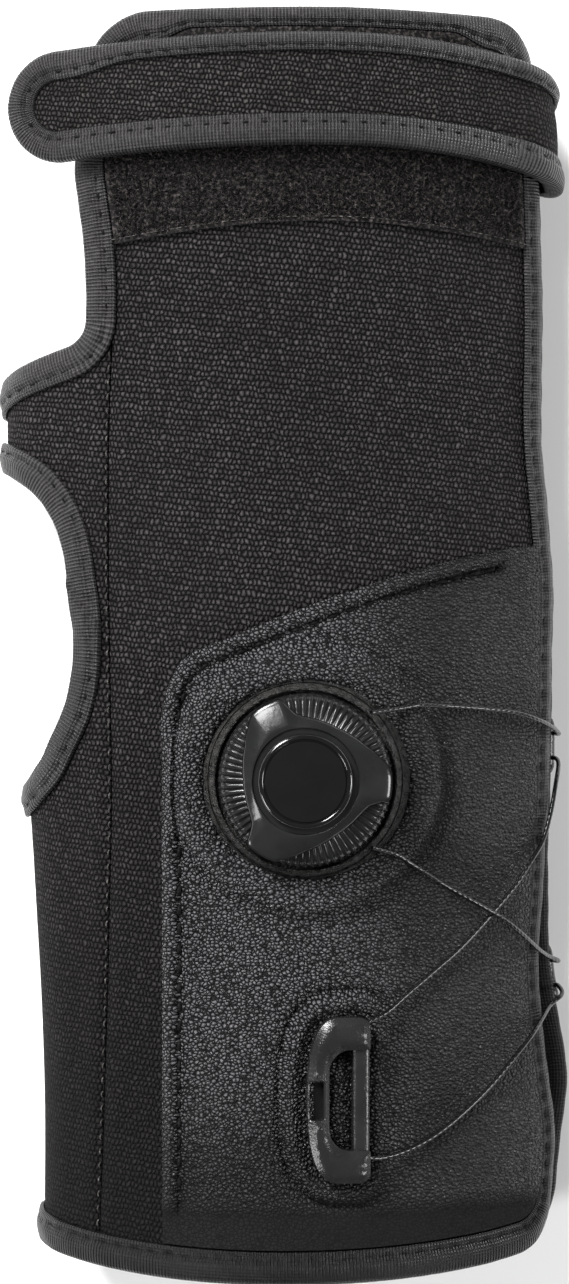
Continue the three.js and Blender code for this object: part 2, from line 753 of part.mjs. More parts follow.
// Same as inset for an open line, whose ends have one neighbour
function insetOpen(line, distance) {
  const last = line.length - 1;
  const first = [2 * line[0][0] - line[1][0], 2 * line[0][1] - line[1][1]];
  const final = [2 * line[last][0] - line[last - 1][0], 2 * line[last][1] - line[last - 1][1]];
  return inset([first, ...line, final], distance).slice(1, -1);
}

// Folded tape round an edge: an outer leg, a web past the edge and an inner leg
function foldedTape(under, over, reach) {
  return [
    [reach, over + seatGap],
    [reach, over + seatGap + tapeThickness],
    [-seatGap - tapeThickness, over + seatGap + tapeThickness],
    [-seatGap - tapeThickness, under - seatGap - tapeThickness],
    [reach, under - seatGap - tapeThickness],
    [reach, under - seatGap],
    [-seatGap, under - seatGap],
    [-seatGap, over + seatGap],
  ];
}

const outline = outerOutline();
const rim = thumbRim();

// Splits the outline at the visible seam into the back's part and the palm's part
function splitAtSeam(line, offset) {
  const kept = (point) => (offset > 0 ? point[0] > seamLine(point[1]) + offset
    : point[0] < seamLine(point[1]) + offset);
  const flags = line.map(kept);
  const start = flags.findIndex((flag, i) => flag && !flags[(i + line.length - 1) % line.length]);
  const part = [];
  for (let k = 0; k < line.length && flags[(start + k) % line.length]; k += 1) {
    part.push(line[(start + k) % line.length]);
  }
  const cross = (a, b) => {
    let low = 0;
    let high = 1;
    const at = (s) => [a[0] + (b[0] - a[0]) * s, a[1] + (b[1] - a[1]) * s];
    for (let k = 0; k < 40; k += 1) {
      const s = (low + high) / 2;
      if (kept(at(s))) low = s;
      else high = s;
    }
    return at(low);
  };
  const before = line[(start + line.length - 1) % line.length];
  const after = line[(start + part.length) % line.length];
  const first = cross(part[0], before);
  const last = cross(part[part.length - 1], after);
  const near = 0.8;
  const apart = (p, q) => Math.hypot(p[0] - q[0], p[1] - q[1]) > near;
  const middle = part.filter((point) => apart(point, first) && apart(point, last));
  const steps = Math.round(Math.abs(first[1] - last[1]) / rowStep);
  const seam = [];
  for (let k = 1; k < steps; k += 1) {
    const v = last[1] + ((first[1] - last[1]) * k) / steps;
    seam.push([seamLine(v) + offset, v]);
  }
  return [first, ...middle, last, ...seam];
}

const innerTapeEdge = inset(outline, tapeReach + seatGap);

// Region bounded by its own edge and, elsewhere, by the tape's inner edge on the back
function regionAlongTape(ownEdge, belongs) {
  const flags = innerTapeEdge.map(([u, v]) => u > seamLine(v) && belongs(u, v));
  const count = flags.length;
  const start = flags.findIndex((flag, i) => flag && !flags[(i + count - 1) % count]);
  const along = [];
  for (let k = 0; k < count && flags[(start + k) % count]; k += 1) {
    along.push(innerTapeEdge[(start + k) % count]);
  }
  const near = 2.4;
  const ends = [ownEdge[0], ownEdge[ownEdge.length - 1]];
  const clear = along.filter((p) => ends.every((e) => Math.hypot(p[0] - e[0], p[1] - e[1]) > near));
  return [...ownEdge, ...clear];
}

const canvasBottom = () => -canvasThickness;
const canvasTop = () => 0;

// Mesh points of the canvas under the tape's inner edges, where the pattern bends along the tape
const underTape = [...inset(outline, tapeReach), ...inset(rim, tapeReach)].filter(
  ([u, v]) => Math.abs(columnOf(u, v)) > crownColumns - 2,
);

function makeBackPanel() {
  const loops = [splitAtSeam(outline, seamGap / 2)];
  return sheet(loops, canvasBottom, canvasTop, { extra: underTape, border: tapeReach });
}

function makePalmPanel() {
  const loops = [splitAtSeam(outline, -seamGap / 2), rim];
  return sheet(loops, canvasBottom, canvasTop, { extra: underTape, border: tapeReach });
}

function makeEdgeBinding() {
  return sweep(outline, foldedTape(-canvasThickness, 0, tapeReach), true);
}

function makeThumbBinding() {
  return sweep(rim, foldedTape(-canvasThickness, 0, tapeReach), true);
}

// Loop patch under the strap, with a lower edge that bows towards the fingers
function makeLoopPatch() {
  const inner = tapeReach + seatGap;
  const left = notchEdge(loopLowerEdge) + inner;
  const right = backEdge(loopLowerEdge) - inner;
  const edge = bendsBetween(left, right, loopLowerEdge).map((u) => {
    const s = (u - left) / (right - left);
    return [u, loopLowerEdge + loopLowerBow * Math.sin(halfTurn * s)];
  });
  const loop = regionAlongTape(edge, (u, v) => v > loopLowerEdge);
  return sheet([loop], () => seatGap, () => seatGap + loopThickness, { step: rowStep / 2 });
}

// Strap
const hookBottom = seatGap + loopThickness + seatGap;
const strapBottom = hookBottom + hookThickness + seatGap;
const strapTop = strapBottom + strapThickness;

function strapLine(u) {
  const out = u - strapCrest;
  if (out < 0) return strapCentre - strapFallThumb * (out / (strapTip - strapCrest)) ** 2;
  const side = sideAt(strapCentre, "little");
  return strapCentre - strapFallLittle * Math.min(out / side.crownArc, 1.25) ** 2;
}

// The strap runs straight on where it leaves the back, and closes on the palm at its root
function placeStrap(u, v, w) {
  const side = sideAt(strapCentre, "little");
  const rootFrom = side.crownArc + side.sideArc - strapRootLap;
  const settle = (hookBottom - seatGap) * smooth((u - rootFrom) / strapRootLap);
  if (u >= strapLeaves) return place(u, v, w - settle);
  const start = place(strapLeaves, v, w);
  const lean = strapLeaves / sideAt(v, "thumb").crownRadius;
  const out = u - strapLeaves;
  return start.add(new THREE.Vector3(out * Math.cos(lean), 0, -out * Math.sin(lean)));
}

const strapRoot = (() => {
  const side = sideAt(strapCentre, "little");
  return side.crownArc + side.sideArc + strapRootLap;
})();

// Strap's outline from its root round the tip and back, at a distance inside its cut edge
function strapEdge(insideBy) {
  const reach = strapWidth / 2 - insideBy;
  const tip = strapTip + strapWidth / 2;
  const lower = [];
  const upper = [];
  const steps = 5;
  for (const u of bendsBetween(tip, strapRoot, strapCentre).slice(1, -1)) {
    upper.push([u, strapLine(u) + reach]);
    lower.push([u, strapLine(u) - reach]);
  }
  const round = [];
  for (let k = 0; k <= 2 * steps; k += 1) {
    const angle = quarterTurn + (quarterTurn * k) / steps;
    const u = tip + reach * Math.cos(angle);
    round.push([u, strapLine(u) + reach * Math.sin(angle)]);
  }
  const end = (side) => [strapRoot, strapLine(strapRoot) + side * reach];
  return [end(1), ...upper.reverse(), ...round, ...lower, end(-1)];
}

function makeStrap() {
  const cut = strapEdge(seatGap + tapeThickness);
  return sheet([cut], () => strapBottom, () => strapTop, { put: placeStrap, step: strapWidth / 2 });
}

function makeStrapBinding() {
  const cut = strapEdge(seatGap + tapeThickness);
  const narrow = tapeReach - tapeThickness;
  return sweep(cut, foldedTape(strapBottom, strapTop, narrow), false, placeStrap);
}

function makeHookPad() {
  const reach = strapWidth / 2 - tapeReach - 2 * seatGap;
  const bends = bendsBetween(hookStart, hookEnd, strapCentre);
  const lower = bends.map((u) => [u, strapLine(u) - reach]);
  const upper = bends.map((u) => [u, strapLine(u) + reach]);
  const top = hookBottom + hookThickness;
  return sheet([[...lower, ...upper.reverse()]], () => hookBottom, () => top, { put: placeStrap });
}

// Lace dial
const bezelInner = knobRadius + bezelClearance;
const bezelOuter = bezelInner + bezelWall;
const leatherHole = bezelOuter + leatherHoleClearance;
const flangeRadius = bezelOuter + flangeReach;
const dialSide = sideAt(dialY, "little");
const dialLevel = dialSide.height + dialSide.lift;
const dialU = dialSide.crownRadius * Math.asin(dialX / dialSide.crownRadius);
const knobBottom = dialFloor + seatGap;
const knobTop = knobBottom + knobHeight;

// Height of the canvas's outer face above or below the dial's zero level
function backHeight(x, y) {
  const side = sideAt(y, x < 0 ? "thumb" : "little");
  const reach = Math.min(Math.abs(x), side.crownRadius * 0.95);
  return side.lift + side.height - side.crownRadius + Math.sqrt(side.crownRadius ** 2 - reach ** 2);
}

// Ring-shaped solid about the dial's axis. A profile point is a radius with either a level or a
// height above the canvas.
function ringSolid(profile) {
  const points = [];
  for (let i = 0; i < dialSegments; i += 1) {
    const angle = (2 * halfTurn * i) / dialSegments;
    for (const { r, level, above } of profile) {
      const x = dialX + r * Math.cos(angle);
      const y = dialY + r * Math.sin(angle);
      points.push(new THREE.Vector3(x, y, above === undefined ? dialLevel + level : backHeight(x, y) + above));
    }
  }
  const count = profile.length;
  const faces = [];
  for (let i = 0; i < dialSegments; i += 1) {
    const next = (i + 1) % dialSegments;
    for (let k = 0; k < count; k += 1) {
      const side = (k + 1) % count;
      faces.push(...quad(i * count + k, next * count + k, next * count + side, i * count + side));
    }
  }
  return solid(points, faces);
}

function makeDialBase() {
  const round = bezelWall / 4;
  const flangeTop = seatGap + flangeThickness;
  return ringSolid([
    { r: axleRadius + seatGap, above: seatGap },
    { r: flangeRadius * 0.4, above: seatGap },
    { r: flangeRadius * 0.7, above: seatGap },
    { r: flangeRadius, above: seatGap },
    { r: flangeRadius, above: seatGap + flangeThickness / 2 },
    { r: flangeRadius - flangeThickness, above: flangeTop },
    { r: bezelOuter, above: flangeTop },
    { r: bezelOuter, level: bezelHeight - round },
    { r: bezelOuter - round, level: bezelHeight },
    { r: bezelInner + round, level: bezelHeight },
    { r: bezelInner, level: bezelHeight - round },
    { r: bezelInner, level: dialFloor },
    { r: axleRadius + seatGap, level: dialFloor },
  ]);
}

function makeAxle() {
  const bottom = 2 * seatGap;
  const axle = new THREE.CylinderGeometry(axleRadius, axleRadius, axleHeight - bottom, 24);
  return axle.rotateX(quarterTurn).translate(dialX, dialY, dialLevel + (axleHeight + bottom) / 2);
}

function lathe(profile) {
  const turned = new THREE.LatheGeometry(profile.map(([r, z]) => new THREE.Vector2(r, z)), dialSegments);
  return turned.rotateX(quarterTurn).translate(dialX, dialY, dialLevel);
}

function makeKnob() {
  return lathe([
    [0, axleHeight + seatGap],
    [axleRadius + seatGap, axleHeight + seatGap],
    [axleRadius + seatGap, knobBottom],
    [knobRadius - knobChamfer, knobBottom],
    [knobRadius, knobBottom + knobChamfer],
    [knobRadius, knobTop - 2 * knobChamfer],
    [knobRadius - 2 * knobChamfer, knobTop],
    [0, knobTop],
  ]);
}

// One third of the grip's swirl, from its steep end to the next one: share of the turn and of the
// knob's radius
const gripRows = [
  { turn: 0.00, reach: 0.735 },
  { turn: 0.10, reach: 0.715 },
  { turn: 0.36, reach: 0.745 },
  { turn: 0.48, reach: 0.800 },
  { turn: 0.60, reach: 0.895 },
  { turn: 0.70, reach: 0.970 },
  { turn: 0.84, reach: 0.975 },
  { turn: 0.93, reach: 0.880 },
  { turn: 0.97, reach: 0.780 },
];

function makeGrip() {
  const points = [];
  for (let lobe = 0; lobe < 3; lobe += 1) {
    for (const { turn, reach } of gripRows) {
      const angle = gripTurn * degree - ((lobe + turn) * 2 * halfTurn) / 3;
      const r = knobRadius * Math.min(reach, gripReach);
      points.push(new THREE.Vector2(r * Math.cos(angle), r * Math.sin(angle)));
    }
  }
  const bevel = gripThickness / 5;
  const grip = new THREE.ExtrudeGeometry(new THREE.Shape(points), {
    depth: gripThickness - 2 * bevel,
    bevelThickness: bevel,
    bevelSize: bevel,
    bevelOffset: -bevel,
    bevelSegments: 1,
    curveSegments: 1,
  });
  return grip.translate(dialX, dialY, dialLevel + knobTop + seatGap + bevel);
}

function makeCap() {
  const bottom = knobTop + seatGap + gripThickness + seatGap;
  const lip = capHeight / 3;
  return lathe([
    [0, bottom],
    [capRadius - lip, bottom],
    [capRadius, bottom + lip],
    [capRadius - lip, bottom + capHeight],
    [capRadius - 2 * lip, bottom + capHeight],
    [capRadius - 3 * lip, bottom + 2 * lip],
    [0, bottom + 2 * lip],
  ]);
}

// Leather overlay, lifted over the dial's flange
const leatherRise = seatGap + flangeThickness;

function leatherBottom(u, v) {
  const r = Math.hypot(u - dialU, v - dialY);
  return seatGap + leatherRise * (1 - smooth((r - flangeRadius - seatGap) / leatherBlend));
}

const leatherFace = (u, v) => leatherBottom(u, v) + leatherThickness;

function leatherHoleLoop(segments) {
  const loop = [];
  for (let i = 0; i < segments; i += 1) {
    const angle = (-2 * halfTurn * i) / segments;
    loop.push([dialU + leatherHole * Math.cos(angle), dialY + leatherHole * Math.sin(angle)]);
  }
  return loop;
}

function makeLeather() {
  const inner = tapeReach + seatGap;
  const right = backEdge(leatherTop) - inner;
  const topAt = (s) => leatherTop - leatherTopFall * s ** 1.5;
  const leftEnd = cuffLine(-leatherLeft) + inner;
  const across = right + leatherLeft;
  const edge = bendsBetween(leatherCornerRound - leatherLeft, right, leatherTop).reverse().map((u) => [
    u,
    topAt((right - u) / across),
  ]);
  const last = edge[edge.length - 1];
  const turnEnd = last[1] - 1.1 * leatherCornerRound;
  edge.push([-leatherLeft + 0.28 * leatherCornerRound, last[1] - 0.35 * leatherCornerRound]);
  edge.push([-leatherLeft, turnEnd]);
  const rows = Math.round((2 * (turnEnd - leftEnd)) / rowStep);
  for (let k = 1; k <= rows; k += 1) edge.push([-leatherLeft, turnEnd + ((leftEnd - turnEnd) * k) / rows]);
  const loop = regionAlongTape(edge, (u, v) => u > -leatherLeft && v < leatherTop - 0.5);
  const rings = [];
  const segments = 32;
  for (const r of [flangeRadius + seatGap, flangeRadius + seatGap + leatherBlend]) {
    for (let i = 0; i < segments; i += 1) {
      const angle = (2 * halfTurn * (i + 0.5)) / segments;
      rings.push([dialU + r * Math.cos(angle), dialY + r * Math.sin(angle)]);
    }
  }
  const options = { extra: rings, cut: leatherBlend * 1.5 };
  return sheet([loop, leatherHoleLoop(segments)], leatherBottom, leatherFace, options);
}

// Frame that stands on the back at a pattern point: local x across, y along and z outwards
function standOn(u, v, w) {
  const origin = place(u, v, w);
  const across = place(u + 0.5, v, w).sub(place(u - 0.5, v, w)).normalize();
  const along = new THREE.Vector3(0, 1, 0);
  const out = new THREE.Vector3().crossVectors(across, along).normalize();
  const turn = new THREE.Matrix4().makeBasis(across, along, out);
  return { position: origin, quaternion: new THREE.Quaternion().setFromRotationMatrix(turn) };
}

// D outline: straight on the right, a half ellipse-like round on the left
function handleShape(grow) {
  const half = handleLength / 2 + grow;
  const right = handleWidth / 2 + grow;
  const corner = handleCorner;
  const endFullness = 0.8;
  const sideFullness = 0.55;
  const shape = new THREE.Shape();
  shape.moveTo(right, -half + corner);
  shape.lineTo(right, half - corner);
  shape.quadraticCurveTo(right, half, right - corner, half);
  shape.lineTo(0, half);
  shape.bezierCurveTo(-right * endFullness, half, -right, half * sideFullness, -right, 0);
  shape.bezierCurveTo(-right, -half * sideFullness, -right * endFullness, -half, 0, -half);
  shape.lineTo(right - corner, -half);
  shape.quadraticCurveTo(right, -half, right, -half + corner);
  return shape;
}

function slotPath(x, length, width) {
  const round = Math.min(width, length) / 3;
  const path = new THREE.Path();
  const halfLength = length / 2;
  const halfWidth = width / 2;
  path.moveTo(x - halfWidth + round, -halfLength);
  path.lineTo(x + halfWidth - round, -halfLength);
  path.quadraticCurveTo(x + halfWidth, -halfLength, x + halfWidth, -halfLength + round);
  path.lineTo(x + halfWidth, halfLength - round);
  path.quadraticCurveTo(x + halfWidth, halfLength, x + halfWidth - round, halfLength);
  path.lineTo(x - halfWidth + round, halfLength);
  path.quadraticCurveTo(x - halfWidth, halfLength, x - halfWidth, halfLength - round);
  path.lineTo(x - halfWidth, -halfLength + round);
  path.quadraticCurveTo(x - halfWidth, -halfLength, x - halfWidth + round, -halfLength);
  return path;
}

function makeHandle() {
  const shape = handleShape(0);
  shape.holes.push(slotPath(handleWindowOffset, handleWindowLength, handleWindowWidth));
  shape.holes.push(slotPath(handleSlotOffset, handleSlotLength, handleSlotWidth));
  return new THREE.ExtrudeGeometry(shape, {
    depth: handleThickness,
    bevelEnabled: false,
    curveSegments: handleSegments,
  });
}

// Plate that the handle clips on
function makeHandleBase() {
  return new THREE.ExtrudeGeometry(handleShape(-handleBaseInset), {
    depth: handleBaseThickness,
    bevelEnabled: false,
    curveSegments: handleSegments,
  });
}

// Guide sewn beyond the palm side's tape, with rounded ends. It is laid out along the pattern.
const guideTop = tapeThickness + 2 * seatGap;
const guideStart = (v) => uAtAngle(v, "palm", quarterTurn + palmEdgeDrop * degree) + guideGap;

function placePalmSide(u, v, w) {
  const palm = sideAt(v, "palm");
  const at = wrapSide(palm, palm, u);
  return new THREE.Vector3(
    at.x + w * Math.sin(at.angle),
    v,
    at.z + palm.lift + w * Math.cos(at.angle),
  );
}

function makeGuide(centreV) {
  const start = guideStart(centreV);
  const corner = guideLength / 5;
  const half = guideLength / 2;
  const loop = [
    [start, centreV - half + corner],
    [start + corner / 2, centreV - half],
    [start + guideReach / 2, centreV - half],
    [start + guideReach - corner, centreV - half],
    [start + guideReach, centreV - half + corner],
    [start + guideReach, centreV + half - corner],
    [start + guideReach - corner, centreV + half],
    [start + guideReach / 2, centreV + half],
    [start + corner / 2, centreV + half],
    [start, centreV + half - corner],
  ];
  const middle = [-1, 0, 1].map((k) => [start + guideReach / 2, centreV + k * corner]);
  const top = guideTop + guideThickness;
  return sheet([loop], () => guideTop, () => top, { put: placePalmSide, extra: middle, step: guideLength });
}

// Lace runs leave the back's edge and go down to the palm side's wider edge
function placeLace(u, v, w) {
  const share = smooth((u - backEdge(v)) / guideReach);
  const back = place(u, v, w);
  return share > 0 ? back.lerp(placePalmSide(u, v, w), share) : back;
}

// Pattern points where the lace runs end: at the dial, at the guides and at the handle
const guideEnd = (centre, way) => ({
  u: guideStart(centre) - laceEndGap,
  v: centre + (way * laceSpread) / 2,
});
const dialExit = (angle) => ({
  u: dialU + laceExitReach * Math.cos(angle * degree),
  v: dialY + laceExitReach * Math.sin(angle * degree),
});
const handleEdge = handleX + handleWidth / 2;
const upperGuideY = alongHand(upperGuideAlong);
const lowerGuideY = alongHand(lowerGuideAlong);
const laceEnds = {
  dialUpper: dialExit(laceExitUpper),
  dialLower: dialExit(laceExitLower),
  guideUpperFar: guideEnd(upperGuideY, 1),
  guideUpperNear: guideEnd(upperGuideY, -1),
  guideLowerFar: guideEnd(lowerGuideY, 1),
  guideLowerNear: guideEnd(lowerGuideY, -1),
  handleUpper: { u: handleEdge + handleUpperOut, v: handleY + handleLength / 2 + laceEndGap },
  handleLower: { u: handleEdge + handleLowerOut, v: handleY - handleLength / 2 + handleLowerIn },
};

// Lace run between its two ends
function makeLace({ from, to, points }) {
  const start = laceEnds[from];
  const end = laceEnds[to];
  const route = points.map(([across, along, above]) =>
    placeLace(start.u + (end.u - start.u) * across, start.v + (end.v - start.v) * along, above));
  const curve = new THREE.CatmullRomCurve3(route, false, "centripetal");
  const section = new THREE.Shape();
  for (let k = 0; k < laceSides; k += 1) {
    const angle = (2 * halfTurn * k) / laceSides;
    const x = (laceDiameter / 2) * Math.cos(angle);
    const y = (laceDiameter / 2) * Math.sin(angle);
    if (k === 0) section.moveTo(x, y);
    else section.lineTo(x, y);
  }
  return new THREE.ExtrudeGeometry(section, {
    steps: Math.round(curve.getLength() / laceStep),
    extrudePath: curve,
    bevelEnabled: false,
  });
}

const glove = new THREE.Group();

function add(name, geometry, finish, frame) {
  const mesh = new THREE.Mesh(geometry, new THREE.MeshStandardMaterial(finish));
  mesh.name = name;
  if (frame) {
    mesh.position.copy(frame.position);
    mesh.quaternion.copy(frame.quaternion);
  }
  glove.add(mesh);
  return mesh;
}

add("back_panel", makeBackPanel(), finishes.canvas);
add("palm_panel", makePalmPanel(), finishes.canvas);
add("edge_binding", makeEdgeBinding(), finishes.tape);
add("thumb_binding", makeThumbBinding(), finishes.tape);
add("loop_patch", makeLoopPatch(), finishes.loop);
add("strap", makeStrap(), finishes.canvas);
add("strap_binding", makeStrapBinding(), finishes.tape);
add("hook_pad", makeHookPad(), finishes.hook);
add("leather_panel", makeLeather(), finishes.leather);
add("dial_base", makeDialBase(), finishes.dial);
add("dial_axle", makeAxle(), finishes.dial);
add("dial_knob", makeKnob(), finishes.dial);
add("dial_grip", makeGrip(), finishes.grip);
add("dial_cap", makeCap(), finishes.cap);

const plateHeight = seatGap + leatherThickness + seatGap;
const handleHeight = plateHeight + handleBaseThickness + seatGap;
add("handle_base", makeHandleBase(), finishes.handle, standOn(handleX, handleY, plateHeight));
add("lace_handle", makeHandle(), finishes.handle, standOn(handleX, handleY, handleHeight));
add("edge_guide_upper", makeGuide(upperGuideY), finishes.handle);
add("edge_guide_lower", makeGuide(lowerGuideY), finishes.handle);

for (const [name, run] of Object.entries(laceRuns)) add(name, makeLace(run), finishes.lace);

// The origin is under the middle of the glove, on the surface that it lies on
const box = new THREE.Box3().setFromObject(glove);
glove.position.set(-(box.min.x + box.max.x) / 2, -(box.min.y + box.max.y) / 2, -box.min.z);

export default glove;
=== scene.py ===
"""Dressed model of a wrist-support bowling glove, laid out as an add-on and run as a script.

The glove lies palm side down with the fingers along +Y and the thumb opening towards -X. Cloth and
leather are drawn on one flat pattern in millimetres: u runs across from the crest of the back of the
hand, v along the hand, and w is the height above the canvas's outer face.
"""

import math

import bpy
import numpy as np
from bpy.props import FloatProperty, FloatVectorProperty, IntProperty, PointerProperty
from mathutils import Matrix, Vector
from mathutils.geometry import delaunay_2d_cdt


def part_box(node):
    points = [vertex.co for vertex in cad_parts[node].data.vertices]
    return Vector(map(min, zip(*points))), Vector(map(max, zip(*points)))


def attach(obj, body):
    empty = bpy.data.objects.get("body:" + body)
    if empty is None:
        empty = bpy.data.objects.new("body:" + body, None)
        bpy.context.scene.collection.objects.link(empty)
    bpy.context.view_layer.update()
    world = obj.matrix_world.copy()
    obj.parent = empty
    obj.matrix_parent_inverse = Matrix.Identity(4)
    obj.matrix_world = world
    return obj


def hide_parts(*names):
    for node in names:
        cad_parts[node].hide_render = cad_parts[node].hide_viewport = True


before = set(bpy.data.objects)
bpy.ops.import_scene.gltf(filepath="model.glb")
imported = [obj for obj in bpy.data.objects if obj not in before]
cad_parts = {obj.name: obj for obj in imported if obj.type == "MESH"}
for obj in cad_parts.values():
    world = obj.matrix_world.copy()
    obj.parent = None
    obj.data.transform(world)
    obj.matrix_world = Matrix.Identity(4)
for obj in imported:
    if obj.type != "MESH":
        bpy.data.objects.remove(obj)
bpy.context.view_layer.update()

bl_info = {
    "name": "Bowling glove",
    "version": (1, 0, 0),
    "blender": (4, 5, 0),
    "location": "View3D > Sidebar > Glove",
    "description": "Builds a canvas and leather wrist-support glove with a lace dial",
    "category": "Add Mesh",
}

MM = 0.001
PHOTO_SIZE = (569, 1284)
SENSOR_LONG_SIDE = 36.0
UV_NAME = "Pattern"
HALF_TURN = math.pi
QUARTER_TURN = math.pi / 2

# Places along the hand as shares of the glove's length
STRAP_ALONG = 0.9364
LEATHER_TOP_ALONG = 0.577
DIAL_ALONG = 0.3923
HANDLE_ALONG = 0.1423
GUIDES_ALONG = {"guide_upper": 0.4146, "guide_lower": 0.2276}

# Sizes that more than one piece uses, in millimetres, and the strap's tip as a share of the half width
DIAL_ACROSS = 4.0
AXLE_HOLE = 3.6
BAR_LEFT = 2.9
HANDLE_LOW = 3.2
WINDOW_ROUND = 4.2
LOW_BAND = 13.4
STITCH_SINK = 0.12
STRAP_TIP = 0.979
TAPE_THREAD = {"radius": 0.3, "dash": 0.6, "lift": 0.12}

# Lamps: name, place and size in metres, and power in watts
LAMPS = (
    ("key", (-1.6, 2.3, 2.0), 1.0, 205.0),
    ("soft", (-1.0, 1.3, 2.6), 0.8, 56.0),
    ("fill", (2.9, -0.3, 1.9), 1.2, 84.0),
    ("low", (-2.5, -1.5, 1.9), 1.2, 68.0),
)

# Cross-sections from the cuff to the fingers: place along the hand, then the half widths of the thumb
# side and of the back's and the palm's little-finger side, the height and the lift, all as shares
SECTION_NAMES = ("along", "thumb", "little", "palm", "height", "lift")
SECTIONS = np.array([
    (0.00, 0.857, 0.929, 0.938, 1.000, 0.480),
    (0.06, 0.859, 0.950, 0.965, 1.000, 0.100),
    (0.10, 0.861, 0.964, 0.985, 1.000, 0.000),
    (0.15, 0.866, 0.939, 1.004, 1.000, 0.000),
    (0.23, 0.877, 0.905, 0.946, 1.000, 0.000),
    (0.32, 0.900, 0.925, 0.936, 1.000, 0.060),
    (0.38, 0.920, 0.939, 0.943, 0.991, 0.180),
    (0.48, 0.954, 0.948, 0.949, 0.965, 0.270),
    (0.55, 0.975, 0.953, 0.953, 0.939, 0.280),
    (0.60, 0.986, 0.937, 0.937, 0.913, 0.290),
    (0.67, 0.996, 0.912, 0.912, 0.870, 0.360),
    (0.76, 0.989, 0.915, 0.915, 0.826, 0.560),
    (0.85, 0.975, 0.905, 0.905, 0.793, 0.850),
    (0.94, 0.962, 0.885, 0.885, 0.775, 0.950),
    (1.00, 0.955, 0.875, 0.875, 0.761, 1.000),
])

# Thumb side's free edge above the bridge: place along the hand and share of the local half width
NOTCH_ROWS = np.array([
    (0.760, 0.690), (0.785, 0.693), (0.818, 0.705), (0.849, 0.727), (0.881, 0.745), (0.940, 0.720),
    (1.000, 0.690),
])

# Seam between the back and palm panels, in the same columns
SEAM_ROWS = np.array([(0.00, 0.765), (0.07, 0.755), (0.28, 0.697), (0.40, 0.657), (0.75, 0.612)])

# Thumb hole's rim: place along the hole, then shares of its reach to the back and to the palm
THUMB_ROWS = (
    (0.000, 0.000, 0.000), (0.020, 0.260, 0.240), (0.090, 0.540, 0.520), (0.170, 0.700, 0.720),
    (0.260, 0.860, 0.870), (0.370, 0.960, 0.970), (0.500, 1.000, 1.000), (0.650, 0.965, 0.960),
    (0.780, 0.900, 0.860), (0.870, 0.780, 0.740), (0.940, 0.590, 0.560), (0.985, 0.300, 0.290),
    (1.000, 0.000, 0.000),
)

# Lace runs between two of the lace ends: shares of the way across and along the hand, then the height
# above the canvas in millimetres
LACE_RUNS = {
    "lace_upper_out": ("dial_upper", "guide_upper_far", (
        (0, 0, 5.0), (0.072, -0.087, 4.4), (0.2, -0.052, 2.6), (0.372, 0.051, 2.45),
        (0.543, 0.206, 2.35), (0.65, 0.43, 2.2), (0.747, 0.671, 2.2), (0.833, 0.878, 2.2),
        (0.918, 0.981, 2.2), (1, 1, 2.3),
    )),
    "lace_upper_back": ("guide_upper_near", "handle_upper", (
        (0, 0, 2.3), (0.08, 0.023, 2.2), (0.161, 0.104, 2.2), (0.215, 0.218, 2.2),
        (0.276, 0.332, 2.2), (0.342, 0.405, 2.3), (0.413, 0.494, 2.35), (0.526, 0.606, 2.35),
        (0.681, 0.751, 2.4), (0.804, 0.847, 2.5), (0.919, 0.936, 2.9), (1, 1, 3.7),
    )),
    "lace_lower_out": ("guide_lower_near", "handle_lower", (
        (0, 0, 2.3), (0.099, 0.043, 2.3), (0.176, 0.103, 2.2), (0.255, 0.177, 2.2),
        (0.33, 0.271, 2.25), (0.399, 0.371, 2.35), (0.468, 0.475, 2.4), (0.558, 0.612, 2.4),
        (0.7, 0.799, 2.4), (0.812, 0.913, 2.6), (0.919, 0.98, 3.3), (1, 1, 4.3),
    )),
    "lace_lower_back": ("guide_lower_far", "dial_lower", (
        (0, 0, 2.3), (0.1, 0.022, 2.3), (0.184, 0.065, 2.2), (0.286, 0.138, 2.2),
        (0.382, 0.249, 2.6), (0.484, 0.382, 3.5), (0.566, 0.481, 3.7), (0.664, 0.596, 3.1),
        (0.8, 0.751, 2.6), (0.902, 0.871, 4.1), (0.956, 0.94, 4.7), (1, 1, 5.0),
    )),
}

# One third of the grip's swirl, from its steep end to the next: share of the turn and of the radius
GRIP_ROWS = (
    (0.000, 0.810), (0.017, 0.780), (0.060, 0.750), (0.117, 0.730), (0.225, 0.715), (0.342, 0.715),
    (0.458, 0.745), (0.575, 0.800), (0.683, 0.895), (0.730, 0.950), (0.762, 0.980), (0.800, 0.990),
    (0.930, 0.990), (0.948, 0.970), (0.966, 0.900), (0.985, 0.845),
)


def length(name, millimetres, description):
    """A length property whose default is given in millimetres."""
    return FloatProperty(
        name=name, description=description, default=millimetres * MM, min=0.0, unit="LENGTH", precision=5
    )


def share(name, value, description):
    """A property without a unit, such as a share of a named size."""
    return FloatProperty(name=name, description=description, default=value)


def angle(name, degrees, description):
    """An angle property whose default is given in degrees."""
    return FloatProperty(name=name, description=description, default=math.radians(degrees), subtype="ANGLE")


def colour(name, value, description):
    """A colour property, as linear red, green and blue."""
    return FloatVectorProperty(
        name=name, description=description, default=value, size=3, min=0.0, max=1.0, subtype="COLOR"
    )


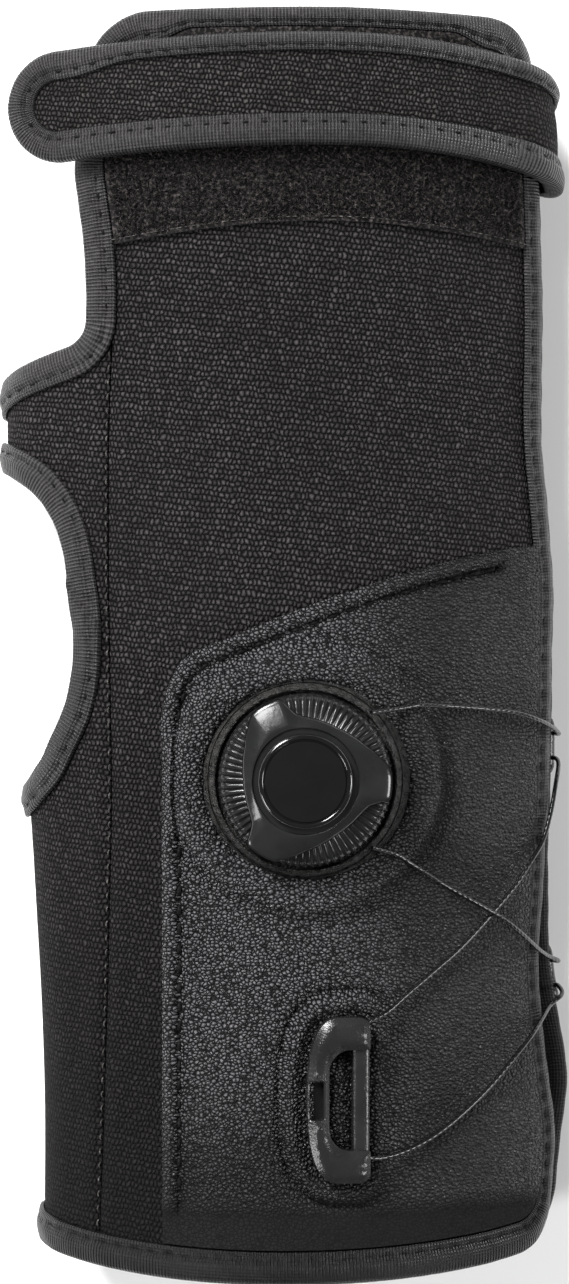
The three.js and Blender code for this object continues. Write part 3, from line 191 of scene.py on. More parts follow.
class GloveSizes(bpy.types.PropertyGroup):
    """Sizes of the canvas, the tape and the leather."""

    glove_length: length("Glove length", 246, "Cuff edge to finger edge")
    hand_half_width: length("Hand half width", 56, "Half of the glove's width across the knuckles")
    wrist_height: length("Wrist height", 46, "Height of the glove at the wrist")
    mouth_lift: length("Mouth lift", 5.4, "Rise of the finger end above the surface it lies on")
    side_round: share("Side round", 0.37, "Radius of the sides as a share of the height")
    canvas_thickness: length("Canvas thickness", 2.4, "Thickness of the padded canvas")
    seat_gap: length("Seat gap", 0.3, "Room between pieces that lie on each other")
    tape_reach: length("Tape reach", 5.6, "Width of the tape on each face of the canvas")
    tape_thickness: length("Tape thickness", 0.7, "Thickness of the binding tape")
    stitch_pitch: length("Stitch pitch", 3.6, "Distance between two stitches")
    stitch_inset: length("Stitch inset", 3.9, "Distance of the tape's stitches from the canvas's edge")
    thumb_hole_length: length("Thumb hole length", 64, "Thumb hole along the hand")
    thumb_hole_back: length("Thumb hole back", 23, "Reach of the thumb hole on the back")
    thumb_hole_palm: length("Thumb hole palm", 22.5, "Reach of the thumb hole on the palm")
    strap_width: length("Strap width", 22, "Width of the closing strap")
    strap_thickness: length("Strap thickness", 1.6, "Thickness of the strap's canvas")
    loop_thickness: length("Loop thickness", 1.2, "Thickness of the loop patch with its pile")
    hook_thickness: length("Hook thickness", 0.6, "Thickness of the hook pad")
    leather_thickness: length("Leather thickness", 1.3, "Thickness of the leather overlay")
    leather_left: length("Leather left", 23.7, "Reach of the leather towards the thumb")
    leather_round: length("Leather corner round", 14, "Round of the leather's upper left corner")
    leather_band: length("Leather edge band", 3.1, "Width of the leather's turned edge")


class DialSizes(bpy.types.PropertyGroup):
    """Sizes of the lace dial, the handle and the lace."""

    knob_radius: length("Knob radius", 16.7, "Outer radius of the turning knob")
    knob_height: length("Knob height", 6.1, "Height of the knob's ribbed ring")
    bezel_clearance: length("Bezel clearance", 0.6, "Room between the knob and its bezel")
    bezel_wall: length("Bezel wall", 1.4, "Wall of the bezel")
    bezel_height: length("Bezel height", 5.8, "Height of the bezel above the back")
    flange_reach: length("Flange reach", 5.4, "Width of the flange under the leather")
    flange_thickness: length("Flange thickness", 1.9, "Thickness of the flange")
    leather_gap: length("Leather gap", 0.5, "Room between the bezel and the leather's hole")
    leather_blend: length("Leather blend", 3.5, "Width over which the leather falls beside the flange")
    dial_floor: length("Dial floor", 2.6, "Height of the dial's floor")
    rib_depth: length("Rib depth", 0.5, "Depth of the grooves between the knob's ribs")
    rib_count: share("Rib count", 72, "Number of ribs round the knob")
    grip_thickness: length("Grip thickness", 1.5, "Thickness of the swirl on the knob")
    grip_start: angle("Grip start", 100, "Direction of the first window's steep end")
    cap_radius: length("Cap radius", 9, "Radius of the glossy cap")
    cap_height: length("Cap height", 1.2, "Height of the cap's ring")
    lace_diameter: length("Lace diameter", 0.9, "Diameter of the lace")
    handle_length: length("Handle length", 31.8, "Length of the D-shaped handle")
    handle_width: length("Handle width", 12.2, "Width of the D-shaped handle")
    handle_thickness: length("Handle thickness", 3.2, "Thickness of the handle")
    handle_across: length("Handle across", 9.8, "Distance of the handle from the crest")
    handle_corner: length("Handle corner", 2.5, "Round of the handle's right corners")
    window_length: length("Window length", 19.4, "Length of the handle's window")
    window_width: length("Window width", 4.8, "Width of the handle's window")
    guide_length: length("Guide length", 12, "Length of a lace guide along the edge")
    guide_reach: length("Guide reach", 7, "Width of a lace guide")
    guide_thickness: length("Guide thickness", 2.2, "Thickness of a lace guide")


class Finishes(bpy.types.PropertyGroup):
    """Colours of the fabrics, the leather and the plastics."""

    canvas: colour("Canvas", (0.0130, 0.0118, 0.0122), "Woven canvas of both panels")
    strap: colour("Strap canvas", (0.0140, 0.0128, 0.0126), "Woven canvas of the strap")
    tape: colour("Tape", (0.020, 0.0190, 0.0196), "Ribbed binding tape")
    loop: colour("Loop fabric", (0.0085, 0.0074, 0.0072), "Pile of the loop patch")
    hook: colour("Hook fabric", (0.0060, 0.0060, 0.0060), "Hook pad under the strap")
    leather: colour("Leather", (0.046, 0.0445, 0.047), "Leather overlay")
    thread: colour("Thread", (0.0050, 0.0050, 0.0053), "Stitches on the tape and the leather")
    seam_thread: colour("Seam thread", (0.110, 0.105, 0.100), "Stitches of the side seam")
    dial: colour("Dial plastic", (0.0060, 0.0058, 0.0056), "Rough plastic of the dial's base")
    knob: colour("Knob plastic", (0.0100, 0.0100, 0.0102), "Ribbed ring of the knob")
    grip: colour("Grip plastic", (0.0090, 0.0091, 0.0093), "Satin swirl on the knob")
    cap: colour("Cap plastic", (0.0025, 0.0025, 0.0027), "Glossy cap of the knob")
    handle: colour("Handle plastic", (0.0105, 0.0102, 0.0102), "Handle and guides")
    lace: colour("Lace", (0.0040, 0.0040, 0.0043), "Lace")
    floor: colour("Floor", (0.94, 0.94, 0.94), "Floor under the glove")


def columns(rows, k, along):
    """Smooth value of column k of a table at a share along it."""
    keys, values = rows[:, 0], rows[:, k]
    last = len(keys) - 1
    at = np.clip(np.asarray(along, float), keys[0], keys[last])
    i = np.clip(np.searchsorted(keys[1:], at, side="left"), 0, last - 1)
    before, after = np.maximum(np.arange(last + 1) - 1, 0), np.minimum(np.arange(last + 1) + 1, last)
    slopes = (values[after] - values[before]) / (keys[after] - keys[before])
    span = keys[i + 1] - keys[i]
    s = (at - keys[i]) / span
    rest = 1 - s
    start = (1 + 2 * s) * rest ** 2 * values[i] + s * rest ** 2 * span * slopes[i]
    end = s ** 2 * (3 - 2 * s) * values[i + 1] - s ** 2 * rest * span * slopes[i + 1]
    return start + end


def smooth(s):
    """Smooth step from 0 to 1."""
    t = np.clip(s, 0.0, 1.0)
    return t * t * (3 - 2 * t)


def ridge(x, centre, width):
    """Bell-shaped ridge of height 1."""
    return np.exp(-(((x - centre) / width) ** 2))


def in_mm(sizes, *names):
    """Sizes of a property group in millimetres."""
    return [getattr(sizes, name) / MM for name in names]


def as_arrays(*values):
    """Numbers and arrays as float arrays of one shape."""
    return [np.asarray(a, float) for a in np.broadcast_arrays(*values)]


def distances(line):
    """Distance of each point of a line from its start along the line."""
    return np.concatenate([[0], np.cumsum(np.linalg.norm(np.diff(line, axis=0), axis=1))])


def from_nearest(line, place):
    """The same closed line from its point nearest to a place."""
    return np.roll(line, -int(np.argmin(np.hypot(line[:, 0] - place[0], line[:, 1] - place[1]))), axis=0)


def ring_links(rings, sides):
    """Faces between the rings of a tube, by the numbers of their points."""
    around = [(k, (k + 1) % sides) for k in range(sides)]
    starts = range(0, (rings - 1) * sides, sides)
    return [(s + a, s + b, s + sides + b, s + sides + a) for s in starts for a, b in around]


def fold_depth(inward):
    """How deep in a tape a point lies, fading out beyond the tape, by its distance from the edge."""
    return np.clip(inward, 0, 6.0) * (1 - smooth((inward - 7.0) / 5.0))


class Pattern:
    """The glove's flat pattern in millimetres, and how it wraps round the cross-section."""

    def __init__(self, glove):
        self.length = glove.glove_length / MM
        self.half_width = glove.hand_half_width / MM
        self.height = glove.wrist_height / MM
        self.lift = glove.mouth_lift / MM
        self.round = glove.side_round
        self.cuff = -self.length / 2
        self.tape = glove.tape_reach / MM
        self.back_rise = math.radians(20)
        self.palm_drop = math.radians(10)
        axle_low, axle_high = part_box("dial_axle")
        middle = (axle_low + axle_high) / 2 / MM
        self.dial = np.array([DIAL_ACROSS, self.along(DIAL_ALONG)])
        self.shift = np.array([middle.x - self.dial[0], middle.y - self.dial[1], 0.0])

    def along(self, part):
        """Place along the hand of a share of its length from the cuff."""
        return self.cuff + part * self.length

    def side(self, v, name):
        """Sizes of one side of the cross-section."""
        part = (np.asarray(v, float) - self.cuff) / self.length
        half = self.half_width * columns(SECTIONS, SECTION_NAMES.index(name), part)
        height = self.height * columns(SECTIONS, SECTION_NAMES.index("height"), part)
        lift = self.lift * np.maximum(columns(SECTIONS, SECTION_NAMES.index("lift"), part), 0)
        round_ = self.round * height
        flat = half - round_
        crown = (flat ** 2 + (height - round_) ** 2 - round_ ** 2) / (2 * (height - 2 * round_))
        lean = np.arcsin(flat / (crown - round_))
        return {
            "half": half, "height": height, "lift": lift, "round": round_, "flat": flat,
            "crown": crown, "lean": lean, "crown_arc": crown * lean,
            "side_arc": round_ * (HALF_TURN - lean),
        }

    def at_angle(self, v, name, lean):
        """Distance across of the point whose normal leans by an angle."""
        s = self.side(v, name)
        return s["crown_arc"] + s["round"] * (lean - s["lean"])

    def at_share(self, v, name, part):
        """Distance across of the point at a share of the half width."""
        s = self.side(v, name)
        x = part * s["half"]
        on_crown = x <= s["crown"] * np.sin(s["lean"])
        crown = s["crown"] * np.arcsin(np.minimum(x / s["crown"], 1))
        lean = np.arcsin(np.clip((x - s["flat"]) / s["round"], -1, 1))
        return np.where(on_crown, crown, s["crown_arc"] + s["round"] * (lean - s["lean"]))

    def crown(self, across, v):
        """Radius of the back's crown on the side that a point lies on."""
        return np.where(across < 0, self.side(v, "thumb")["crown"], self.side(v, "little")["crown"])

    def from_above(self, x, v):
        """Distance across of a point of the back that is seen straight from above."""
        crown = self.crown(x, v)
        return crown * np.arcsin(np.clip(x / crown, -1, 1))

    def back_edge(self, v):
        return self.at_angle(v, "little", QUARTER_TURN - self.back_rise)

    def notch_edge(self, v):
        return -self.at_share(v, "thumb", columns(NOTCH_ROWS, 1, (v - self.cuff) / self.length))

    def seam(self, v):
        return -self.at_share(v, "thumb", columns(SEAM_ROWS, 1, (v - self.cuff) / self.length))

    def thumb_fold(self, v):
        return -self.at_angle(v, "thumb", QUARTER_TURN)

    def palm_edge(self, v):
        thumb, palm = self.side(v, "thumb"), self.side(v, "palm")
        across = thumb["crown_arc"] + thumb["side_arc"] + thumb["flat"] + palm["flat"]
        return -(across + palm["round"] * (QUARTER_TURN - self.palm_drop))

    def palm_notch_edge(self, v):
        thumb = self.side(v, "thumb")
        return -(thumb["crown_arc"] + thumb["side_arc"] + self.tape / 2)

    def cuff_line(self, u):
        return self.cuff + 4.6 * np.minimum(1, (u / self.thumb_fold(self.cuff)) ** 2)

    def wrap(self, side, palm, d):
        """Place across, height and leaning angle of a distance round one side."""
        crown_end = side["crown_arc"]
        side_end = crown_end + side["side_arc"]
        inward = d - side_end
        past = inward - side["flat"] - palm["flat"]
        on_crown, on_side, on_flat = d <= crown_end, d <= side_end, past <= 0
        crown_angle = d / side["crown"]
        side_angle = side["lean"] + (d - crown_end) / side["round"]
        far_angle = HALF_TURN + past / palm["round"]
        zone = [on_crown, on_side, on_flat]
        x = np.select(zone, [
            side["crown"] * np.sin(crown_angle),
            side["flat"] + side["round"] * np.sin(side_angle),
            side["flat"] - inward,
        ], -palm["flat"] + palm["round"] * np.sin(far_angle))
        z = np.select(zone, [
            side["height"] - side["crown"] * (1 - np.cos(crown_angle)),
            side["round"] * (1 + np.cos(side_angle)),
            np.zeros_like(d),
        ], palm["round"] * (1 + np.cos(far_angle)))
        lean = np.select(zone, [crown_angle, side_angle, np.full_like(d, HALF_TURN)], far_angle)
        return x, z, lean

    def place(self, u, v, w):
        """Points of the wrapped pattern, in millimetres in the row frame."""
        u, v, w = as_arrays(u, v, w)
        thumb, little, palm = self.side(v, "thumb"), self.side(v, "little"), self.side(v, "palm")
        left = u < 0
        side = {k: np.where(left, thumb[k], little[k]) for k in thumb}
        far = {k: np.where(left, palm[k], little[k]) for k in thumb}
        x, z, lean = self.wrap(side, far, np.abs(u))
        way = np.where(left, -1.0, 1.0)
        points = [way * (x + w * np.sin(lean)), v, z + side["lift"] + w * np.cos(lean)]
        return np.stack(points, -1) + self.shift

    def narrow_tape(self, u, v, squeeze=0.45):
        """The tape on the finger edge is folded further back than elsewhere, and what lies by it follows."""
        end = -self.cuff
        left, right = float(self.notch_edge(end)), float(self.back_edge(end))
        within = smooth((u - left - 12.0) / 8.0) * smooth((right - 12.0 - u) / 8.0)
        return v + squeeze * fold_depth(end - v) * within

    def place_edge(self, u, v, w):
        """Points of the tape on the outer edge and of the cloth beside it."""
        return self.place(u, self.narrow_tape(u, v), w)

    def place_palm_side(self, u, v, w):
        """Points beside the palm panel's free edge, which is a little wider than the back's."""
        u, v, w = as_arrays(u, v, w)
        palm = self.side(v, "palm")
        x, z, lean = self.wrap(palm, palm, u)
        return np.stack([x + w * np.sin(lean), v, z + palm["lift"] + w * np.cos(lean)], -1) + self.shift


def rounded(points):
    """Closed line with its corners rounded; each point is across, along and round."""
    line = []
    count = len(points)
    for i, (u, v, reach) in enumerate(points):
        if not reach:
            line.append((u, v))
            continue
        corner = np.array([u, v])
        back = np.array(points[i - 1][:2]) - corner
        ahead = np.array(points[(i + 1) % count][:2]) - corner
        back /= np.linalg.norm(back)
        ahead /= np.linalg.norm(ahead)
        opening = math.acos(float(np.clip(back @ ahead, -1, 1)))
        start = corner + back * reach / math.tan(opening / 2)
        end = corner + ahead * reach / math.tan(opening / 2)
        middle = (back + ahead) / np.linalg.norm(back + ahead)
        centre = corner + middle * reach / math.sin(opening / 2)
        turn = HALF_TURN - opening
        steps = max(4, math.ceil(turn / 0.08))
        a, b = start - centre, end - centre
        way = math.copysign(1.0, a[0] * b[1] - a[1] * b[0])
        for k in range(steps + 1):
            c, s = math.cos(way * turn * k / steps), math.sin(way * turn * k / steps)
            line.append((centre[0] + a[0] * c - a[1] * s, centre[1] + a[0] * s + a[1] * c))
    return np.array(line, float)


def spaced(line, step, closed=True):
    """The same line with evenly spaced points."""
    line = np.asarray(line, float)
    ring = np.vstack([line, line[:1]]) if closed else line
    runs = distances(ring)
    count = max(3, round(runs[-1] / step))
    at = np.linspace(0, runs[-1], count + 1)
    at = at[:-1] if closed else at
    return np.stack([np.interp(at, runs, ring[:, k]) for k in range(ring.shape[1])], -1)


def inset(line, distance, closed=True):
    """Each point of a line moved to its left by a distance."""
    if closed:
        before, after = np.roll(line, 1, axis=0), np.roll(line, -1, axis=0)
    else:
        before = np.vstack([2 * line[:1] - line[1:2], line[:-1]])
        after = np.vstack([line[1:], 2 * line[-1:] - line[-2:-1]])
    way = after - before
    way /= np.maximum(np.linalg.norm(way, axis=1, keepdims=True), 1e-9)
    return line + np.stack([-way[:, 1], way[:, 0]], -1) * distance


def outer_outline(pattern, step):
    """Outline of the whole pattern, counter-clockwise from the palm's cuff corner."""
    cuff_round, finger_round, notch_round = 12.0, 13.0, 6.5
    cuff_clear, finger_clear = 1.4 * cuff_round, 1.4 * finger_round
    finger_end = -pattern.cuff
    palm_end = finger_end - 6.0
    cuff_side = float(pattern.cuff_line(pattern.thumb_fold(pattern.cuff)))
    points = []

    def corner(u, v, reach):
        points.append((float(u), float(v), reach))

    def across_cuff(start, end):
        for u in np.linspace(start, end, 40):
            points.append((float(u), float(pattern.cuff_line(u)), 0))

    def along_edge(edge, start, end):
        for v in np.linspace(start, end, 40):
            points.append((float(edge(v)), float(v), 0))

    corner(pattern.palm_edge(cuff_side), cuff_side, cuff_round)
    across_cuff(pattern.palm_edge(cuff_side) + cuff_clear, pattern.back_edge(cuff_side) - cuff_clear)
    corner(pattern.back_edge(cuff_side), cuff_side, cuff_round)
    along_edge(pattern.back_edge, cuff_side + cuff_clear, finger_end - 0.6 - finger_clear)
    corner(pattern.back_edge(finger_end), finger_end - 0.6, finger_round)
    corner(pattern.half_width * 0.21, finger_end, 0)
    corner(pattern.notch_edge(finger_end), finger_end - 0.4, finger_round)
    bridge_back, bridge_fold = pattern.along(0.739), pattern.along(0.706)
    along_edge(pattern.notch_edge, finger_end - 0.4 - finger_clear, bridge_back + 1.5 * notch_round)
    corner(pattern.notch_edge(bridge_back), bridge_back, notch_round)
    corner(pattern.thumb_fold(bridge_fold), bridge_fold, 0)
    bridge_palm = pattern.along(0.694)
    corner(pattern.palm_notch_edge(bridge_palm), bridge_palm, notch_round)
    along_edge(pattern.palm_notch_edge, bridge_palm + 1.5 * notch_round, palm_end - finger_clear)
    corner(pattern.palm_notch_edge(palm_end), palm_end, finger_round)
    corner(pattern.palm_edge(palm_end), palm_end, finger_round)
    along_edge(pattern.palm_edge, palm_end - finger_clear, cuff_side + cuff_clear)
    return spaced(rounded(points), step)


def thumb_rim(pattern, glove, step):
    """Rim of the thumb hole, clockwise as a hole is."""
    hole = glove.thumb_hole_length / MM
    start = pattern.along(0.64) - hole
    rows = [(start + hole * a, b * glove.thumb_hole_back / MM) for a, b, _ in THUMB_ROWS]
    rows += [(start + hole * a, -p * glove.thumb_hole_palm / MM) for a, _, p in THUMB_ROWS[-2:0:-1]]
    line = np.array([(float(pattern.thumb_fold(v)) + reach, v) for v, reach in rows])
    return spaced(curve_through(line, closed=True, steps=12), step)[::-1]


def curve_through(points, closed=False, steps=8):
    """Centripetal Catmull-Rom curve through points."""
    points = np.asarray(points, float)
    if closed:
        line = np.vstack([points[-1:], points, points[:2]])
    else:
        line = np.vstack([2 * points[:1] - points[1:2], points, 2 * points[-1:] - points[-2:-1]])
    made = []
    for a, b, c, d in zip(line, line[1:], line[2:], line[3:]):
        gaps = [max(np.linalg.norm(q - p), 1e-9) ** 0.5 for p, q in ((a, b), (b, c), (c, d))]
        t = np.cumsum([0, *gaps])
        for s in np.linspace(t[1], t[2], steps, endpoint=False):
            ab = (t[1] - s) / (t[1] - t[0]) * a + (s - t[0]) / (t[1] - t[0]) * b
            bc = (t[2] - s) / (t[2] - t[1]) * b + (s - t[1]) / (t[2] - t[1]) * c
            cd = (t[3] - s) / (t[3] - t[2]) * c + (s - t[2]) / (t[3] - t[2]) * d
            abc = (t[2] - s) / (t[2] - t[0]) * ab + (s - t[0]) / (t[2] - t[0]) * bc
            bcd = (t[3] - s) / (t[3] - t[1]) * bc + (s - t[1]) / (t[3] - t[1]) * cd
            made.append((t[2] - s) / (t[2] - t[1]) * abc + (s - t[1]) / (t[2] - t[1]) * bcd)
    if not closed:
        made.append(points[-1])
    return np.array(made)


def inside(loop, points):
    """Which points lie inside a closed loop."""
    a, b = loop, np.roll(loop, -1, axis=0)
    odd = np.zeros(len(points), bool)
    for (au, av), (bu, bv) in zip(a, b):
        if av == bv:
            continue
        crosses = (av > points[:, 1]) != (bv > points[:, 1])
        odd ^= crosses & (points[:, 0] < au + (points[:, 1] - av) * (bu - au) / (bv - av))
    return odd


def edge_distance(loops, points):
    """Distance of each point to the loops' edges."""
    best = np.full(len(points), np.inf)
    for loop in loops:
        for a, b in zip(loop, np.roll(loop, -1, axis=0)):
            way = b - a
            reach = max(float(way @ way), 1e-12)
            s = np.clip((points - a) @ way / reach, 0, 1)
            best = np.minimum(best, np.linalg.norm(points - a - s[:, None] * way, axis=1))
    return best


def inside_all(loops, points):
    """Which points lie inside the first loop and outside the others."""
    kept = inside(loops[0], points)
    for hole in loops[1:]:
        kept &= ~inside(hole, points)
    return kept


def region(loops, step, rings=(), extra=None):
    """Points and triangles over a region: its edges, rings of points inside them, and a grid."""
    edges = [np.asarray(loop, float) for loop in loops]
    border = max(rings) if len(rings) else 0.0
    inner = [inset(loop, d) for loop in edges for d in rings]
    ring_points = np.vstack(inner) if inner else np.zeros((0, 2))
    if len(ring_points):
        gap = edge_distance(edges, ring_points)
        wanted = np.concatenate([np.full(len(loop), d) for loop in edges for d in rings])
        ring_points = ring_points[inside_all(edges, ring_points) & (gap > wanted * 0.9)]
    low, high = edges[0].min(0), edges[0].max(0)
    us, vs = np.arange(low[0], high[0], step), np.arange(low[1], high[1], step * 0.866)
    grid_u, grid_v = np.meshgrid(us, vs)
    grid_u = grid_u + (np.arange(len(vs)) % 2)[:, None] * step / 2
    grid = np.stack([grid_u.ravel(), grid_v.ravel()], -1)
    grid = grid[inside_all(edges, grid)]
    grid = grid[edge_distance(edges, grid) > border + step * 0.55]
    if extra is not None and len(extra):
        kept = inside_all(edges, extra)
        extra = extra[kept]
        extra = extra[edge_distance(edges, extra) > border + step * 0.4]
        far = np.ones(len(grid), bool)
        for start in range(0, len(extra), 64):
            some = extra[start:start + 64]
            gaps = np.linalg.norm(grid[:, None] - some[None], axis=2).min(1)
            far &= gaps > step * 0.6
        grid = np.vstack([extra, grid[far]])
    points = np.vstack(edges + [ring_points, grid])
    links, start = [], 0
    for loop in edges:
        n = len(loop)
        links += [(start + k, start + (k + 1) % n) for k in range(n)]
        start += n
    made = delaunay_2d_cdt([Vector(p) for p in points], links, [], 0, 1e-6, False)
    verts = np.array([tuple(p) for p in made[0]])
    faces = np.array([tuple(f) for f in made[2]])
    middles = verts[faces].mean(1)
    faces = faces[inside_all(edges, middles)]
    used, faces = np.unique(faces, return_inverse=True)
    faces = faces.reshape(-1, 3)
    verts = verts[used]
    a, b, c = (verts[faces[:, k]] for k in range(3))
    turned = (b[:, 0] - a[:, 0]) * (c[:, 1] - a[:, 1]) - (b[:, 1] - a[:, 1]) * (c[:, 0] - a[:, 0]) < 0
    faces[turned] = faces[turned][:, ::-1]
    return verts, faces


def thick(verts, faces, top, bottom, put):
    """Closed sheet over a region: its top, its underside and the walls along its open edges."""
    n = len(verts)
    points = np.vstack([put(verts[:, 0], verts[:, 1], top), put(verts[:, 0], verts[:, 1], bottom)])
    links = np.vstack([faces[:, [0, 1]], faces[:, [1, 2]], faces[:, [2, 0]]])
    forward = {(int(a), int(b)) for a, b in links}
    open_links = [(a, b) for a, b in forward if (b, a) not in forward]
    open_links.sort()
    walls = [(b, a, a + n) for a, b in open_links] + [(b, a + n, b + n) for a, b in open_links]
    all_faces = np.vstack([faces, faces[:, ::-1] + n, np.array(walls)])
    return points, all_faces, np.vstack([verts, verts])


def add_mesh(name, points, faces, uvs=None, corner_uvs=None):
    """New object at the origin from points in millimetres in the row frame."""
    mesh = bpy.data.meshes.new(name)
    mesh.from_pydata((np.asarray(points) * MM).tolist(), [], [tuple(int(i) for i in f) for f in faces])
    if uvs is not None or corner_uvs is not None:
        layer = mesh.uv_layers.new(name=UV_NAME)
        if corner_uvs is None:
            used = np.zeros(len(mesh.loops), np.int32)
            mesh.loops.foreach_get("vertex_index", used)
            corner_uvs = np.asarray(uvs)[used]
        layer.data.foreach_set("uv", np.asarray(corner_uvs, np.float32).ravel())
    mesh.validate()
    made = bpy.data.objects.new(name, mesh)
    bpy.context.scene.collection.objects.link(made)
    return made


def edit_all(obj):
    """Opens an object in edit mode with everything selected."""
    select_only(obj)
    bpy.ops.object.mode_set(mode="EDIT")
    bpy.ops.mesh.select_all(action="SELECT")


def select_only(obj):
    """Makes an object the only selected one and the active one."""
    if bpy.context.object and bpy.context.object.mode != "OBJECT":
        bpy.ops.object.mode_set(mode="OBJECT")
    bpy.ops.object.select_all(action="DESELECT")
    obj.hide_set(False)
    obj.select_set(True)
    bpy.context.view_layer.objects.active = obj


def finish_piece(obj, material, body="glove", replaces=(), slot=None, crease=35):
    """Gives a piece its material, its smooth faces and its CAD body."""
    obj.data.materials.clear()
    obj.data.materials.append(bpy.data.materials[material])
    if obj.type == "MESH":
        select_only(obj)
        bpy.ops.object.shade_smooth_by_angle(angle=math.radians(crease))
    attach(obj, body)
    if replaces:
        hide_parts(*replaces)
    return obj


def slab(name, loops, step, rings, heights, put, material, extra=None, **finish):
    """Closed sheet over a region, finished as a piece; returns the piece and its flat cut.

    heights(verts) gives the heights of its face and of its underside.
    """
    verts, faces = region(loops, step, rings, extra)
    made = add_mesh(name, *thick(verts, faces, *heights(verts), put))
    return finish_piece(made, material, **finish), (verts, faces)


def laid_sheet(obj, cut):
    """Works out the size and the area of a sheet's flat cut, and does nothing further with them."""
    verts, faces = cut
    size = np.ptp(verts, axis=0) * MM
    area = 0.0
    for face in faces:
        x, y = verts[list(face), 0], verts[list(face), 1]
        area += abs(float(np.dot(x, np.roll(y, -1)) - np.dot(y, np.roll(x, -1)))) / 2


def swept(line, section, put, closed=True, profile=None):
    """Closed section of (inward, height) points swept along a line of the pattern.

    profile(along, inward, heights) may change the heights with the distance along the line.
    """
    count, stations = len(section), len(line)
    ends = np.vstack([line, line[:1]]) if closed else line
    runs = distances(ends)
    points = np.zeros((stations, count, 3))
    for k, (inward, height) in enumerate(section):
        ring = inset(line, inward, closed)
        heights = np.full(stations, float(height))
        if profile is not None:
            heights = profile(runs[:stations], inward, heights)
        points[:, k] = put(ring[:, 0], ring[:, 1], heights)
    wide = distances(np.array(section))
    faces, uvs = [], []
    spans = stations if closed else stations - 1
    for i in range(spans):
        nxt = (i + 1) % stations
        for k in range(count):
            side = (k + 1) % count
            far = wide[side] if side else wide[-1] + 0.5
            faces.append((i * count + k, nxt * count + k, nxt * count + side, i * count + side))
            uvs += [(runs[i], wide[k]), (runs[i + 1], wide[k]), (runs[i + 1], far), (runs[i], far)]
    if not closed:
        for start, order in ((0, 1), ((stations - 1) * count, -1)):
            ring = [start + k for k in range(count)][::order]
            half = count // 2
            for k in range(half - 1):
                faces.append((ring[k], ring[k + 1], ring[count - 2 - k], ring[count - 1 - k]))
                uvs += [(runs[0 if start == 0 else -1], wide[k])] * 4
    return points.reshape(-1, 3), faces, uvs


def stitches(name, material, runs, put, radius, pitch, dash, lift=0.1, sides=6):
    """Short thread dashes along lines of the pattern; each run is a line and its height."""
    rings = 5
    s = np.linspace(-1, 1, rings)
    turn = np.arange(sides) * 2 * HALF_TURN / sides
    points, faces = [], []
    start = 0
    for line, height, closed in runs:
        even = spaced(line, pitch, closed)
        ahead = np.roll(even, -1, axis=0) if closed else np.vstack([even[1:], 2 * even[-1:] - even[-2:-1]])
        way = ahead - even
        way /= np.maximum(np.linalg.norm(way, axis=1, keepdims=True), 1e-9)
        for at, to in zip(even, way):
            run = s * pitch * dash / 2
            arch = lift - (s ** 2) * (lift + radius * 1.6)
            width = radius * (1 - 0.35 * s ** 2)
            across = (np.cos(turn)[None] * width[:, None]).ravel()
            up = (np.sin(turn)[None] * width[:, None] + arch[:, None]).ravel()
            run = np.repeat(run, sides)
            u = at[0] + to[0] * run - to[1] * across
            v = at[1] + to[1] * run + to[0] * across
            points.append(np.stack([u, v, up + height], -1))
            faces += [tuple(start + k for k in link) for link in ring_links(rings, sides)]
            faces.append(tuple(start + k for k in range(sides))[::-1])
            faces.append(tuple(start + (rings - 1) * sides + k for k in range(sides)))
            start += rings * sides
    flat = np.vstack(points)
    made = add_mesh(name, put(flat[:, 0], flat[:, 1], flat[:, 2]), faces)
    face_outwards(made)
    finish_piece(made, material, crease=60)


def face_outwards(obj):
    """Recalculates a closed mesh's normals to the outside."""
    edit_all(obj)
    bpy.ops.mesh.normals_make_consistent(inside=False)
    bpy.ops.object.mode_set(mode="OBJECT")


def tube(points, radius, sides):
    """Round tube with closed ends along points, as points, faces and corner UVs."""
    points = np.asarray(points, float)
    way = np.gradient(points, axis=0)
    way /= np.linalg.norm(way, axis=1, keepdims=True)
    up = np.array([0.0, 0.0, 1.0])
    rings = []
    for at, to in zip(points, way):
        side = np.cross(to, up)
        side /= max(np.linalg.norm(side), 1e-9)
        top = np.cross(side, to)
        turn = np.arange(sides) * 2 * HALF_TURN / sides
        rings.append(at + radius * (np.cos(turn)[:, None] * side + np.sin(turn)[:, None] * top))
    runs = distances(points)
    faces, uvs = ring_links(len(points), sides), []
    for i in range(len(points) - 1):
        for k in range(sides):
            uvs += [(runs[i], k), (runs[i], k + 1), (runs[i + 1], k + 1), (runs[i + 1], k)]
    last = (len(points) - 1) * sides
    faces.append(tuple(range(sides))[::-1])
    faces.append(tuple(last + k for k in range(sides)))
    uvs += [(0, k) for k in range(sides)] + [(runs[-1], k) for k in range(sides)]
    return np.vstack(rings), faces, uvs


# Shader groups


